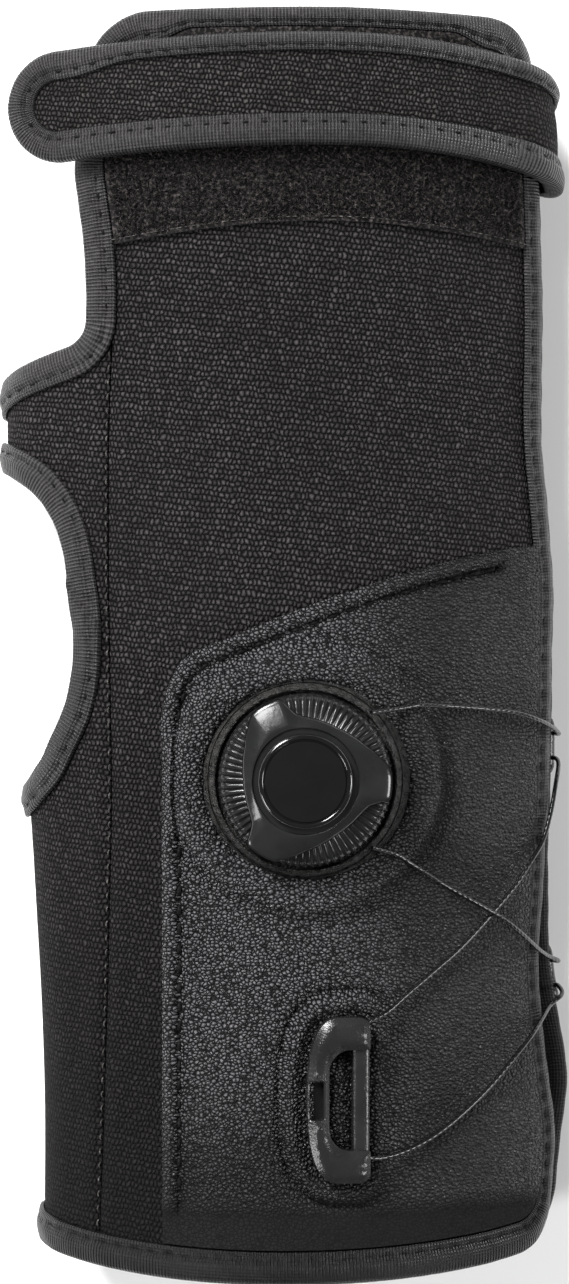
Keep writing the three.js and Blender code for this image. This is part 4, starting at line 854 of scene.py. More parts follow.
class Nodes:
    """A shader tree, with short ways to add the nodes that the groups and the materials use."""

    def __init__(self, tree):
        self.tree = tree

    def give(self, value, socket):
        """Links a socket to an input, or sets the input to a value."""
        if isinstance(value, bpy.types.NodeSocket):
            self.tree.links.new(value, socket)
        else:
            socket.default_value = value

    def add(self, kind, inputs=None, **settings):
        """A new node with its settings and its inputs."""
        made = self.tree.nodes.new(kind)
        for key, value in settings.items():
            setattr(made, key, value)
        for key, value in (inputs or {}).items():
            self.give(value, made.inputs[key])
        return made

    def calc(self, operation, *values):
        return self.add("ShaderNodeMath", dict(enumerate(values)), operation=operation).outputs[0]

    def times(self, a, b):
        return self.calc("MULTIPLY", a, b)

    def rest_of(self, value):
        """What a share leaves of 1."""
        return self.calc("SUBTRACT", 1.0, value)

    def ramp(self, value, low, high):
        """Smooth value from 0 at low to 1 at high."""
        inputs = {"Value": value, "From Min": low, "From Max": high}
        return self.add("ShaderNodeMapRange", inputs, interpolation_type="SMOOTHSTEP").outputs["Result"]

    def blend(self, amount, first, second):
        """Mix of two colours."""
        return self.add("ShaderNodeMix", {0: amount, 6: first, 7: second}, data_type="RGBA").outputs[2]

    def scaled(self, vector, factor):
        return self.add("ShaderNodeVectorMath", {0: vector, "Scale": factor}, operation="SCALE").outputs[0]

    def divided(self, vector, size):
        return self.scaled(vector, self.calc("DIVIDE", 1.0, size))

    def split(self, vector):
        return self.add("ShaderNodeSeparateXYZ", {0: vector}).outputs

    def noise(self, vector, scale, detail, **inputs):
        inputs = {"Vector": vector, "Scale": scale, "Detail": detail, **inputs}
        return self.add("ShaderNodeTexNoise", inputs).outputs

    def bent(self, vector, scale, reach, **mapping):
        """A vector moved by noise, then turned or scaled."""
        way = self.scaled(self.noise(vector, scale, 3.0)["Color"], reach)
        moved = self.add("ShaderNodeVectorMath", {0: way, 1: vector}, operation="ADD").outputs[0]
        return self.add("ShaderNodeMapping", {"Vector": moved, **mapping}).outputs[0]

    def group(self, name, inputs):
        """Outputs of a placed group."""
        return self.add("ShaderNodeGroup", inputs, node_tree=bpy.data.node_groups[name]).outputs

    def clouds(self, place, size):
        return self.group("Clouds", {"Vector": place, "Size": size})["Mask"]


def start_group(name, size_name, size, outputs):
    """A new shader group with a vector and a size as inputs and with float outputs."""
    tree = bpy.data.node_groups.new(name, "ShaderNodeTree")
    tree.interface.new_socket("Vector", in_out="INPUT", socket_type="NodeSocketVector")
    tree.interface.new_socket(size_name, in_out="INPUT", socket_type="NodeSocketFloat").default_value = size
    for key in outputs:
        tree.interface.new_socket(key, in_out="OUTPUT", socket_type="NodeSocketFloat")
    nodes = Nodes(tree)
    return nodes, nodes.add("NodeGroupInput").outputs, nodes.add("NodeGroupOutput").inputs


def make_weave_group():
    """Plain weave on a flat pattern in millimetres; its second output is a painted highlight on the threads'
    tops, stronger on some threads than on others.
    """
    n, given, out = start_group("Weave", "Pitch", 1.2, ("Height", "Glint"))
    turned_place = n.bent(given["Vector"], 0.5, 1.5, Rotation=(0, 0, 0.10))
    split = n.split(n.divided(turned_place, given["Pitch"]))
    y = n.times(split["Y"], 0.86)
    row = n.calc("FLOOR", y)
    x = n.calc("ADD", split["X"], n.times(row, 0.5))
    round_x, round_y = (n.calc("SINE", n.times(n.calc("FRACT", part), HALF_TURN)) for part in (x, y))
    bead = n.times(n.calc("POWER", round_x, 0.7), n.calc("POWER", round_y, 0.5))
    n.give(bead, out["Height"])
    cell = n.add("ShaderNodeCombineXYZ", {0: n.calc("FLOOR", x), 1: row}).outputs[0]
    noise = n.add("ShaderNodeTexWhiteNoise", {"Vector": cell}, noise_dimensions="2D").outputs["Value"]
    # Painted highlight on the threads' tops, of random strength from thread to thread
    chance = n.calc("MULTIPLY_ADD", n.calc("POWER", noise, 1.6), 0.55, 0.18)
    n.give(n.times(chance, n.calc("POWER", bead, 3.0)), out["Glint"])


def make_rib_group():
    """Fine ribs across a tape, on a strip of length and width in millimetres; its second output is a painted
    sheen on the ribs' tops, in patches.
    """
    n, given, out = start_group("Ribs", "Pitch", 0.48, ("Height", "Glint"))
    cross_pitch = 0.62
    split = n.split(given["Vector"])
    rib = n.calc("SINE", n.times(n.calc("DIVIDE", split["X"], given["Pitch"]), 2 * HALF_TURN))
    cross = n.calc("SINE", n.times(split["Y"], 2 * HALF_TURN / cross_pitch))
    raised = n.calc("MULTIPLY_ADD", rib, 0.38, 0.5)
    n.give(n.calc("MULTIPLY_ADD", cross, 0.12, raised), out["Height"])
    # Painted sheen on the ribs' tops, in soft patches
    mottled = n.ramp(n.noise(given["Vector"], 0.9, 3.0)["Fac"], 0.35, 0.75)
    n.give(n.times(mottled, raised), out["Glint"])


def make_grain_group():
    """Pebbled leather grain on a flat pattern in millimetres."""
    n, given, out = start_group("Grain", "Size", 1.1, ("Height", "Crease"))
    cells = n.divided(n.bent(given["Vector"], 0.8, 0.7, Scale=(0.95, 1.08, 1.0)), given["Size"])
    placed = {"Vector": cells, "Scale": 1.0}
    pebbles = n.add("ShaderNodeTexVoronoi", {**placed, "Smoothness": 0.35}, feature="SMOOTH_F1")
    edge = n.add("ShaderNodeTexVoronoi", placed, feature="DISTANCE_TO_EDGE")
    crease = n.rest_of(n.ramp(edge.outputs["Distance"], 0.0, 0.2))
    low = n.calc("MULTIPLY_ADD", crease, -0.45, n.rest_of(pebbles.outputs["Distance"]))
    n.give(n.calc("MULTIPLY_ADD", n.noise(cells, 2.6, 4.0)["Fac"], 0.25, low), out["Height"])
    n.give(crease, out["Crease"])


def make_cloud_group():
    """Soft uneven patches, for dust, wear and the fall of colour over a surface, and for painted patches of
    light on the leather.
    """
    n, given, out = start_group("Clouds", "Size", 20.0, ("Mask",))
    noise = n.noise(n.divided(given["Vector"], given["Size"]), 1.0, 4.0, Roughness=0.55)
    n.give(n.ramp(noise["Fac"], 0.3, 0.7), out["Mask"])


# Materials


def rgba(value, factor=1.0):
    """A colour property as four numbers, made lighter or darker by a factor."""
    return (*(min(1.0, c * factor) for c in value), 1.0)


class Surface(Nodes):
    """A new material with its shader."""

    def __init__(self, name, roughness, specular, **constants):
        made = bpy.data.materials.new(name)
        made.use_nodes = True
        super().__init__(made.node_tree)
        self.tree.nodes.clear()
        inputs = {"Roughness": roughness, "Specular IOR Level": specular}
        shader = self.add("ShaderNodeBsdfPrincipled", inputs)
        self.shader = shader.inputs
        for key, value in constants.items():
            self.give(value, self.shader[key.replace("_", " ")])
        self.add("ShaderNodeOutputMaterial", {"Surface": shader.outputs[0]})

    def pattern_place(self):
        """Place on the flat pattern, in millimetres."""
        return self.add("ShaderNodeUVMap", uv_map=UV_NAME).outputs[0]

    def object_place(self):
        """Place in the object in millimetres."""
        return self.scaled(self.add("ShaderNodeTexCoord").outputs["Object"], 1 / MM)

    def paint(self, colour_):
        self.give(colour_, self.shader["Base Color"])

    def bump(self, height, distance):
        """Bump of a height in millimetres."""
        inputs = {"Height": height, "Distance": distance * MM, "Strength": 1.0}
        self.give(self.add("ShaderNodeBump", inputs).outputs[0], self.shader["Normal"])


def make_canvas_material(name, tone, pitch):
    """Woven canvas with painted shade between the threads, painted highlights on the tops of some threads,
    darker patches at random and painted shade towards the cuff.
    """
    m = Surface(name, 0.8, 0.08)
    place = m.pattern_place()
    weave = m.group("Weave", {"Vector": place, "Pitch": pitch})
    # Painted shade between the threads: the colour goes to black where the weave is low
    thread = m.blend(weave["Height"], rgba(tone, 0.0), rgba(tone))
    # Painted highlights: lighter flecks on the threads' tops
    glinted = m.blend(weave["Glint"], thread, rgba(tone, 7.0))
    mottled = m.blend(m.times(m.clouds(place, 34.0), 0.30), glinted, rgba(tone, 0.55))
    # Painted shade: darker towards the cuff, where less light falls
    to_cuff = m.rest_of(m.ramp(m.split(place)["Y"], -120.0, 20.0))
    m.paint(m.blend(m.times(to_cuff, 0.85), mottled, rgba(tone, 0.3)))
    m.bump(weave["Height"], 0.5)


def make_tape_material(name, tone):
    """Ribbed tape with painted highlights on the ribs, painted shade between them, painted sheen on the rib
    tops in patches, darker patches at random and painted shade towards the cuff.
    """
    m = Surface(name, 0.34, 0.17)
    place = m.pattern_place()
    ribs = m.group("Ribs", {"Vector": place, "Pitch": 0.66})
    # Painted highlight on the ribs and painted shade between them
    base = m.blend(ribs["Height"], rgba(tone, 0.0), rgba(tone, 2.3))
    # Painted sheen on the ribs' tops, in patches
    glinted = m.blend(ribs["Glint"], base, rgba(tone, 3.2))
    mottled = m.blend(m.times(m.clouds(place, 12.0), 0.35), glinted, rgba(tone, 0.6))
    # Painted shade: darker towards the cuff, where less light falls
    to_cuff = m.rest_of(m.ramp(m.split(m.object_place())["Y"], -118.0, 60.0))
    m.paint(m.blend(m.times(to_cuff, 0.9), mottled, rgba(tone, 0.15)))
    m.bump(ribs["Height"], 0.32)


def make_leather_material(name, tone, band_end):
    """Pebbled leather: glossy pebbles with painted highlights, painted shade in the creases, painted shade
    towards the little-finger side and the cuff, soft patches of painted light, and a smooth band at the cuff.
    """
    m = Surface(name, 0.16, 0.16)
    place = m.pattern_place()
    grain = m.group("Grain", {"Vector": place, "Size": 0.72})
    cloud = m.clouds(place, 26.0)
    # Painted highlights on the pebbles' tops and painted shade in their lows
    pebble = m.blend(m.ramp(grain["Height"], 0.15, 1.0), rgba(tone, 0.3), rgba(tone, 2.9))
    # Painted shade in the creases
    base = m.blend(grain["Crease"], pebble, rgba(tone, 0.04))
    split = m.split(place)
    # Painted shade: darker towards the little-finger side and towards the cuff, away from the light
    to_cuff = m.rest_of(m.ramp(split["Y"], band_end, band_end + 34.0))
    to_side = m.ramp(split["X"], 4.0, 32.0)
    shade = m.blend(m.times(m.calc("MAXIMUM", to_side, to_cuff), 0.88), base, rgba(tone, 0.1))
    # Painted light: in soft patches the painted shade is lifted back towards the pebbles' colour
    mottled = m.blend(m.times(cloud, 0.25), shade, pebble)
    grained = m.ramp(split["Y"], band_end - 1.5, band_end + 4.0)
    m.paint(m.blend(grained, rgba(tone, 0.06), mottled))
    rough = m.calc("MULTIPLY_ADD", cloud, -0.04, 0.25)
    dry = m.calc("MULTIPLY_ADD", m.rest_of(grained), 0.5, rough)
    m.give(m.calc("MULTIPLY_ADD", grain["Crease"], 0.3, dry), m.shader["Roughness"])
    m.bump(m.times(grain["Height"], m.calc("MULTIPLY_ADD", grained, 0.95, 0.05)), 1.35)


def make_fibre_material(name, tone, light):
    """Short fibres, some of them lighter than the rest."""
    m = Surface(name, 0.6, 0.08, Sheen_Weight=0.03, Sheen_Roughness=0.5)
    place = m.object_place()
    noise = m.noise(place, 1.5, 4.0)["Fac"]
    base = m.blend(m.ramp(noise, 0.45, 0.75), rgba(tone, 0.3), rgba(tone, light))
    m.paint(m.blend(m.times(m.clouds(place, 9.0), 0.3), base, rgba(tone, 0.5)))
    m.bump(noise, 0.05)


def make_plastic_material(name, tone, roughness, grain, depth, coat=0.0, light=1.6, specular=0.36, patch=7.0):
    """Moulded plastic with a fine texture and light wear."""
    m = Surface(name, roughness, specular, Coat_Weight=coat, Coat_Roughness=0.06)
    place = m.object_place()
    cloud = m.clouds(place, patch)
    m.paint(m.blend(m.times(cloud, 0.5), rgba(tone), rgba(tone, light)))
    m.give(m.calc("MULTIPLY_ADD", cloud, 0.08, roughness - 0.04), m.shader["Roughness"])
    m.bump(m.noise(place, grain, 3.0)["Fac"], depth)


def make_lace_material(name, tone):
    """Twisted smooth lace, with painted shade between its strands."""
    m = Surface(name, 0.22, 0.5)
    split = m.split(m.pattern_place())
    twist = m.calc("MULTIPLY_ADD", split["Y"], QUARTER_TURN, m.times(split["X"], 5.0))
    strand = m.calc("MULTIPLY_ADD", m.calc("SINE", twist), 0.5, 0.5)
    # Painted shade between the strands: darker where the twist is low
    m.paint(m.blend(strand, rgba(tone, 0.2), rgba(tone, 0.9)))
    m.bump(strand, 0.03)


def make_floor_material(name, tone):
    """Pale floor with a trace of unevenness."""
    m = Surface(name, 0.9, 0.2)
    m.paint(m.blend(m.times(m.clouds(m.object_place(), 400.0), 0.03), rgba(tone), rgba(tone, 0.9)))


# Operators


class GLOVE_OT_materials(bpy.types.Operator):
    """Makes the shader groups and every material."""

    bl_idname = "glove.materials"
    bl_label = "Materials"

    def execute(self, context):
        tones = context.scene.glove_finishes
        make_weave_group()
        make_rib_group()
        make_grain_group()
        make_cloud_group()
        make_canvas_material("canvas_weave", tones.canvas, 0.95)
        make_canvas_material("strap_weave", tones.strap, 0.85)
        make_tape_material("ribbed_tape", tones.tape)
        band_end = Pattern(context.scene.glove_sizes).cuff + LOW_BAND
        make_leather_material("grain_leather", tones.leather, band_end)
        make_fibre_material("loop_pile", tones.loop, 8.0)
        make_fibre_material("hook_cloth", tones.hook, 2.0)
        make_fibre_material("stitch_thread", tones.thread, 2.0)
        make_fibre_material("seam_stitch_thread", tones.seam_thread, 1.4)
        flecks = {"light": 9.0, "specular": 0.2, "patch": 1.3}
        make_plastic_material("rough_dial_plastic", tones.dial, 0.3, 2.4, 0.7, **flecks)
        make_plastic_material("satin_knob_plastic", tones.knob, 0.2, 0.8, 0.03)
        make_plastic_material("satin_grip_plastic", tones.grip, 0.2, 0.9, 0.02)
        make_plastic_material("glossy_cap_plastic", tones.cap, 0.10, 0.3, 0.005, coat=0.5)
        make_plastic_material("moulded_handle_plastic", tones.handle, 0.24, 2.0, 0.08)
        make_lace_material("twisted_lace", tones.lace)
        make_floor_material("pale_floor", tones.floor)
        return {"FINISHED"}


class GLOVE_OT_stage(bpy.types.Operator):
    """Adds the pale floor, the soft studio light and the camera above the back of the hand."""

    bl_idname = "glove.stage"
    bl_label = "Stage"

    distance: length("Camera distance", 700, "Camera's distance from the middle of the glove's height")
    middle: length("Middle height", 22, "Height at which a pixel of the photo is a fifth of a millimetre")
    pixel: length("Pixel", 0.2, "Width of a pixel of the photo at the middle height")

    def execute(self, context):
        pattern = Pattern(context.scene.glove_sizes)
        data = bpy.data.cameras.new("camera")
        data.sensor_width = SENSOR_LONG_SIDE
        data.lens = SENSOR_LONG_SIDE * self.distance / (self.pixel * max(PHOTO_SIZE))
        camera = bpy.data.objects.new("camera", data)
        camera.location = (pattern.shift[0] * MM, pattern.shift[1] * MM, self.middle + self.distance)
        context.scene.collection.objects.link(camera)
        context.scene.camera = camera
        bpy.ops.object.select_all(action="DESELECT")
        bpy.ops.mesh.primitive_plane_add(size=6.0, location=(0, 0, 0))
        floor = context.object
        floor.name = "floor"
        floor.data.materials.append(bpy.data.materials["pale_floor"])
        aim = Vector((0, 0, 0.02))
        for name, place, size, power in LAMPS:
            light = bpy.data.lights.new(name, "AREA")
            light.shape = "DISK"
            light.size = size
            light.energy = power
            lamp = bpy.data.objects.new(name, light)
            lamp.location = place
            lamp.rotation_euler = (aim - Vector(place)).to_track_quat("-Z", "Y").to_euler()
            context.scene.collection.objects.link(lamp)
        world = bpy.data.worlds.new("studio")
        world.use_nodes = True
        world.node_tree.nodes["Background"].inputs["Color"].default_value = (1.0, 1.0, 1.0, 1.0)
        world.node_tree.nodes["Background"].inputs["Strength"].default_value = 0.2
        context.scene.world = world
        context.scene.view_settings.view_transform = "Standard"
        return {"FINISHED"}


def split_at_seam(pattern, outline, offset):
    """The outline's part on one side of the seam, closed along the seam."""

    def beyond(point):
        return (point[0] - float(pattern.seam(point[1])) - offset > 0) == (offset > 0)

    def cross(a, b):
        """The last point on this side between one on it and one off it."""
        low, high = 0.0, 1.0
        for _ in range(40):
            s = (low + high) / 2
            low, high = (s, high) if beyond(a + (b - a) * s) else (low, s)
        return a + (b - a) * low

    kept = [beyond(point) for point in outline]
    start = next(i for i in range(len(kept)) if kept[i] and not kept[i - 1])
    order = [(start + k) % len(kept) for k in range(len(kept))]
    count = next(k for k, i in enumerate(order) if not kept[i])
    part = [outline[i] for i in order[:count]]
    first = cross(part[0], outline[start - 1])
    end = cross(part[-1], outline[order[count]])
    vs = np.linspace(end[1], first[1], int(abs(first[1] - end[1]) / 1.6))[1:-1]
    seam = np.stack([pattern.seam(vs) + offset, vs], -1)
    near = [p for p in part if min(np.linalg.norm(p - first), np.linalg.norm(p - end)) > 0.6]
    return np.vstack([first, *near, end, seam])


class GLOVE_OT_canvas(bpy.types.Operator):
    """Builds the padded canvas of the back and of the palm side, and the stitches of their seam."""

    bl_idname = "glove.canvas"
    bl_label = "Canvas panels"

    step: length("Mesh step", 2.0, "Distance between two mesh points")

    def execute(self, context):
        glove = context.scene.glove_sizes
        pattern = Pattern(glove)
        outline = outer_outline(pattern, 1.6)
        rim = thumb_rim(pattern, glove, 1.4)
        thickness = glove.canvas_thickness / MM

        def heights(verts):
            """The seam is a dent above the thumb's bridge, and the cloth is never quite flat."""
            u, v = verts.T
            from_seam = np.abs(u - pattern.seam(v))
            dip = 0.7 * np.exp(-from_seam / 0.9) - 0.35 * ridge(from_seam, 2.6, 1.2)
            soft = 0.16 * np.sin(v / 9.0 + u / 13.0) * np.sin(u / 11.0)
            return np.where(v > pattern.along(0.74), 0.0, -dip) + soft, -thickness

        for name, way, holes in (("back_panel", 1, []), ("palm_panel", -1, [rim])):
            loop = split_at_seam(pattern, outline, way * 0.12)
            made, _ = slab(name + "_cloth", [loop, *holes], self.step / MM, (0.7, 1.5), heights,
                           pattern.place, "canvas_weave", replaces=(name,), slot="canvas", crease=50)
        vs = np.linspace(pattern.cuff + 9, pattern.along(0.73), 200)
        line = np.stack([pattern.seam(vs) - 0.35, vs], -1)
        stitches("seam_stitches", "seam_stitch_thread", [(line, -0.25, False)], pattern.place,
                 radius=0.16, pitch=2.8, dash=0.45)
        return {"FINISHED"}


def tape_section(reach, over, under, thickness, gap):
    """Rounded section of a folded tape: its outer face, its edges and its inner face."""
    top, low = over + gap + thickness, under - gap - thickness
    middle, half = (top + low) / 2, (top - low) / 2
    rows = [(reach, over + gap), (reach + 0.1, over + gap + thickness * 0.5), (reach - 0.15, top)]
    rows += [(reach * s, top) for s in (0.88, 0.80, 0.74, 0.69, 0.64, 0.58, 0.5, 0.4, 0.28, 0.15)]
    for turn in np.linspace(0.12, HALF_TURN - 0.12, 11):
        rows.append((-(gap + thickness) * math.sin(turn) ** 0.8, middle + half * math.cos(turn)))
    rows += [(reach * s, low) for s in (0.15, 0.4, 0.7)]
    rows += [(reach - 0.15, low), (reach + 0.1, under - gap - thickness * 0.5), (reach, under - gap)]
    rows += [(reach * s, under - gap) for s in (0.6, 0.2)]
    rows += [(-gap * 0.6, under - gap * 0.5), (-gap * 0.6, over + gap * 0.5)]
    rows += [(reach * s, over + gap) for s in (0.2, 0.6)]
    return rows


def tape_profile(reach, over, stitch, pitch, lap=None):
    """Heights of a tape: a low crown, a stitched groove and puckers.

    lap is the length at which the tape's ends lie slanted over each other.
    """

    def profile(along, inward, heights):
        crown = 0.62 * np.sin(HALF_TURN * np.clip((inward + 0.6) / (reach + 0.6), 0, 1))
        pull = 0.6 + 0.4 * np.cos(2 * HALF_TURN * along / pitch)
        groove = 0.60 * ridge(inward, stitch, 0.6) * pull
        wave = 0.05 * np.sin(along * 0.9 + inward) + 0.06 * np.sin(along * 0.31)
        if lap is not None:
            past = along - lap - 1.6 * inward
            wave = wave + 0.7 * smooth(past / 0.5) * smooth((13.0 - past) / 9.0)
        return heights + np.where(heights > over + 0.4, crown - groove + wave, 0.0)

    return profile


def add_tape(node, line, section, put, closed, profile):
    """A folded tape along a line, in place of a node."""
    points, faces, uvs = swept(line, section, put, closed, profile)
    made = add_mesh(node + "_tape", points, faces, corner_uvs=uvs)
    face_outwards(made)
    finish_piece(made, "ribbed_tape", replaces=(node,), slot="tape", crease=60)


class GLOVE_OT_bindings(bpy.types.Operator):
    """Builds the ribbed tape folded round the glove's edge and round the thumb hole, and its stitches."""

    bl_idname = "glove.bindings"
    bl_label = "Bindings"

    def execute(self, context):
        glove = context.scene.glove_sizes
        pattern = Pattern(glove)
        reach, thickness, gap = in_mm(glove, "tape_reach", "tape_thickness", "seat_gap")
        canvas, pitch, stitch = in_mm(glove, "canvas_thickness", "stitch_pitch", "stitch_inset")
        section = tape_section(reach, 0.0, -canvas, thickness, gap)
        rim = thumb_rim(pattern, glove, 0.9)
        runs = []
        for name, line, lap in (("edge_binding", outer_outline(pattern, 0.9), None),
                                ("thumb_binding", rim, self.lap(pattern, rim))):
            profile = tape_profile(reach, 0.0, stitch, pitch, lap)
            add_tape(name, line, section, pattern.place_edge, True, profile)
            runs.append((inset(line, stitch), gap + thickness - STITCH_SINK, True))
        stitches("binding_stitches", "stitch_thread", runs, pattern.place_edge, pitch=pitch, **TAPE_THREAD)
        return {"FINISHED"}

    def lap(self, pattern, line):
        """Length along the thumb tape at which its end lies over its start, beside the thumb hole."""
        on_back = line[:, 0] > pattern.thumb_fold(0.0) + 12
        away = np.where(on_back, np.abs(line[:, 1] - pattern.along(0.545)), np.inf)
        return float(distances(line)[int(np.argmin(away))])


def loop_outline(pattern, step):
    """Outline of the loop patch: inside the tape, down to a curved lower edge."""
    clear = pattern.tape + 0.3
    level = pattern.along(0.817)
    left, right = float(pattern.notch_edge(level)) + clear, float(pattern.back_edge(level)) - clear
    shares = np.linspace(0, 1, 60)
    lower = np.stack([left + (right - left) * shares, level + 4.0 * np.sin(HALF_TURN * shares)], -1)
    inner = inset(outer_outline(pattern, step), clear)
    kept = inner[(inner[:, 1] > level + 0.7) & (inner[:, 0] > pattern.thumb_fold(0.0) + 22)]
    return np.vstack([lower, from_nearest(kept, (right, level))])


class GLOVE_OT_loop_patch(bpy.types.Operator):
    """Builds the loop patch: its base cloth, its pile of small loops and the sewn lower edge."""

    bl_idname = "glove.loop_patch"
    bl_label = "Loop patch"

    fibres: IntProperty(name="Fibres", description="Number of loops in the pile", default=8200, min=0)
    seed: IntProperty(name="Seed", description="Seed of the pile's random places", default=11, min=0)

    def execute(self, context):
        glove = context.scene.glove_sizes
        pattern = Pattern(glove)
        outline = loop_outline(pattern, 1.4)
        bottom = glove.seat_gap / MM
        top = bottom + glove.loop_thickness / MM - 0.5
        fuzz = np.random.default_rng(self.seed)

        def heights(verts):
            u, v = verts.T
            return top + fuzz.uniform(-0.12, 0.12, len(verts)) + 0.12 * np.sin(u / 7) * np.sin(v / 5), bottom

        base, cut = slab("loop_patch_cloth", [outline], 1.7, (0.7,), heights, pattern.place_edge,
                         "loop_pile", replaces=("loop_patch",), slot="loop_fabric", crease=60)
        laid_sheet(base, cut)
        points, faces = self.pile(self.spots(pattern, outline, fuzz), top, fuzz)
        pile = add_mesh("loop_patch_pile", pattern.place_edge(*points), faces)
        face_outwards(pile)
        finish_piece(pile, "loop_pile", slot="loop_fabric", crease=60)
        seam = inset(outline[:60], 0.8, False)
        stitches("loop_patch_stitches", "seam_stitch_thread", [(seam, top + 0.2, False)], pattern.place,
                 radius=0.1, pitch=1.5, dash=0.75, lift=0.05)
        return {"FINISHED"}

    def spots(self, pattern, outline, fuzz):
        """Places of the loops: fewer under the strap, where nobody sees them."""
        tried = fuzz.uniform(outline.min(0), outline.max(0), (self.fibres * 2, 2))
        tried = tried[inside(outline, tried)]
        tried = tried[edge_distance([outline], tried) > 0.9]
        covered = np.abs(tried[:, 1] - strap_line(pattern, tried[:, 0])) < 9.5
        return tried[~covered | (fuzz.uniform(size=len(tried)) < 0.1)][:self.fibres]

    def pile(self, spots, top, fuzz):
        """Points and faces of bowed threads that rise and fall like small arches."""
        rings, sides, radius = 5, 3, 0.07
        count = len(spots)
        turn = np.linspace(0, HALF_TURN, rings)
        size = fuzz.uniform(0.35, 0.95, count)
        way = fuzz.uniform(0, 2 * HALF_TURN, count)
        rise = fuzz.uniform(0.25, 0.75, count)
        bow = fuzz.uniform(-0.35, 0.35, count)[:, None] * np.sin(turn)[None]
        run = -np.cos(turn)[None] * size[:, None]
        cos_way, sin_way = np.cos(way)[:, None], np.sin(way)[:, None]
        spin = np.arange(sides) * 2 * HALF_TURN / sides
        across = radius * np.cos(spin)
        u = spots[:, 0][:, None] + run * cos_way - bow * sin_way
        v = spots[:, 1][:, None] + run * sin_way + bow * cos_way
        w = top - 0.1 + np.sin(turn)[None] * rise[:, None]
        u = u[..., None] - sin_way[..., None] * across
        v = v[..., None] + cos_way[..., None] * across
        w = w[..., None] + radius * np.sin(spin)
        starts = np.arange(count) * rings * sides
        walls = (np.array(ring_links(rings, sides))[None] + starts[:, None, None]).reshape(-1, 4)
        first = np.array([[2, 1, 0]]) + starts[:, None]
        last = np.array([[0, 1, 2]]) + (rings - 1) * sides + starts[:, None]
        return [a.reshape(-1) for a in (u, v, w)], [*walls, *first, *last]


def strap_line(pattern, u):
    """The strap's centre line across the hand."""
    centre = pattern.along(STRAP_ALONG)
    crest, tip = pattern.half_width * 0.179, -pattern.half_width * STRAP_TIP
    out = np.asarray(u, float) - crest
    left = (out / (tip - crest)) ** 2
    right = np.minimum(out / float(pattern.side(centre, "little")["crown_arc"]), 1.25) ** 2
    return centre - np.where(out < 0, 3.5 * left, 5.5 * right)


def strap_root(pattern):
    """Where the strap ends, sewn to the palm panel's edge."""
    side = pattern.side(pattern.along(STRAP_ALONG), "little")
    return float(side["crown_arc"] + side["side_arc"]) + 9.0


def place_strap(pattern, u, v, w):
    """Points of the strap: it lies on the loop patch and leaves the hand beyond its left edge."""
    u, v, w = as_arrays(u, v, w)
    leaves = -pattern.half_width * 0.643
    settle = 1.5 * smooth((u - (strap_root(pattern) - 18.0)) / 9.0)
    on_hand = pattern.place(np.maximum(u, leaves), v, w - settle)
    out = np.minimum(u - leaves, 0.0)
    lean = leaves / pattern.side(v, "thumb")["crown"]
    return on_hand + np.stack([out * np.cos(lean), np.zeros_like(out), -out * np.sin(lean)], -1)


def strap_edge(pattern, glove, step, inside_by=1.0):
    """Outline of the strap's cloth: two long edges and a round tip, open at the root."""
    reach = glove.strap_width / MM / 2 - inside_by
    tip = -pattern.half_width * STRAP_TIP + glove.strap_width / MM / 2
    us = np.linspace(strap_root(pattern), tip, 160)
    upper = np.stack([us, strap_line(pattern, us) + reach], -1)
    turn = np.linspace(QUARTER_TURN, 3 * QUARTER_TURN, 40)[1:-1]
    middle = float(strap_line(pattern, tip))
    end = np.stack([tip + reach * np.cos(turn), middle + reach * np.sin(turn)], -1)
    lower = np.stack([us[::-1], strap_line(pattern, us[::-1]) - reach], -1)
    return spaced(np.vstack([upper, end, lower]), step, closed=False)


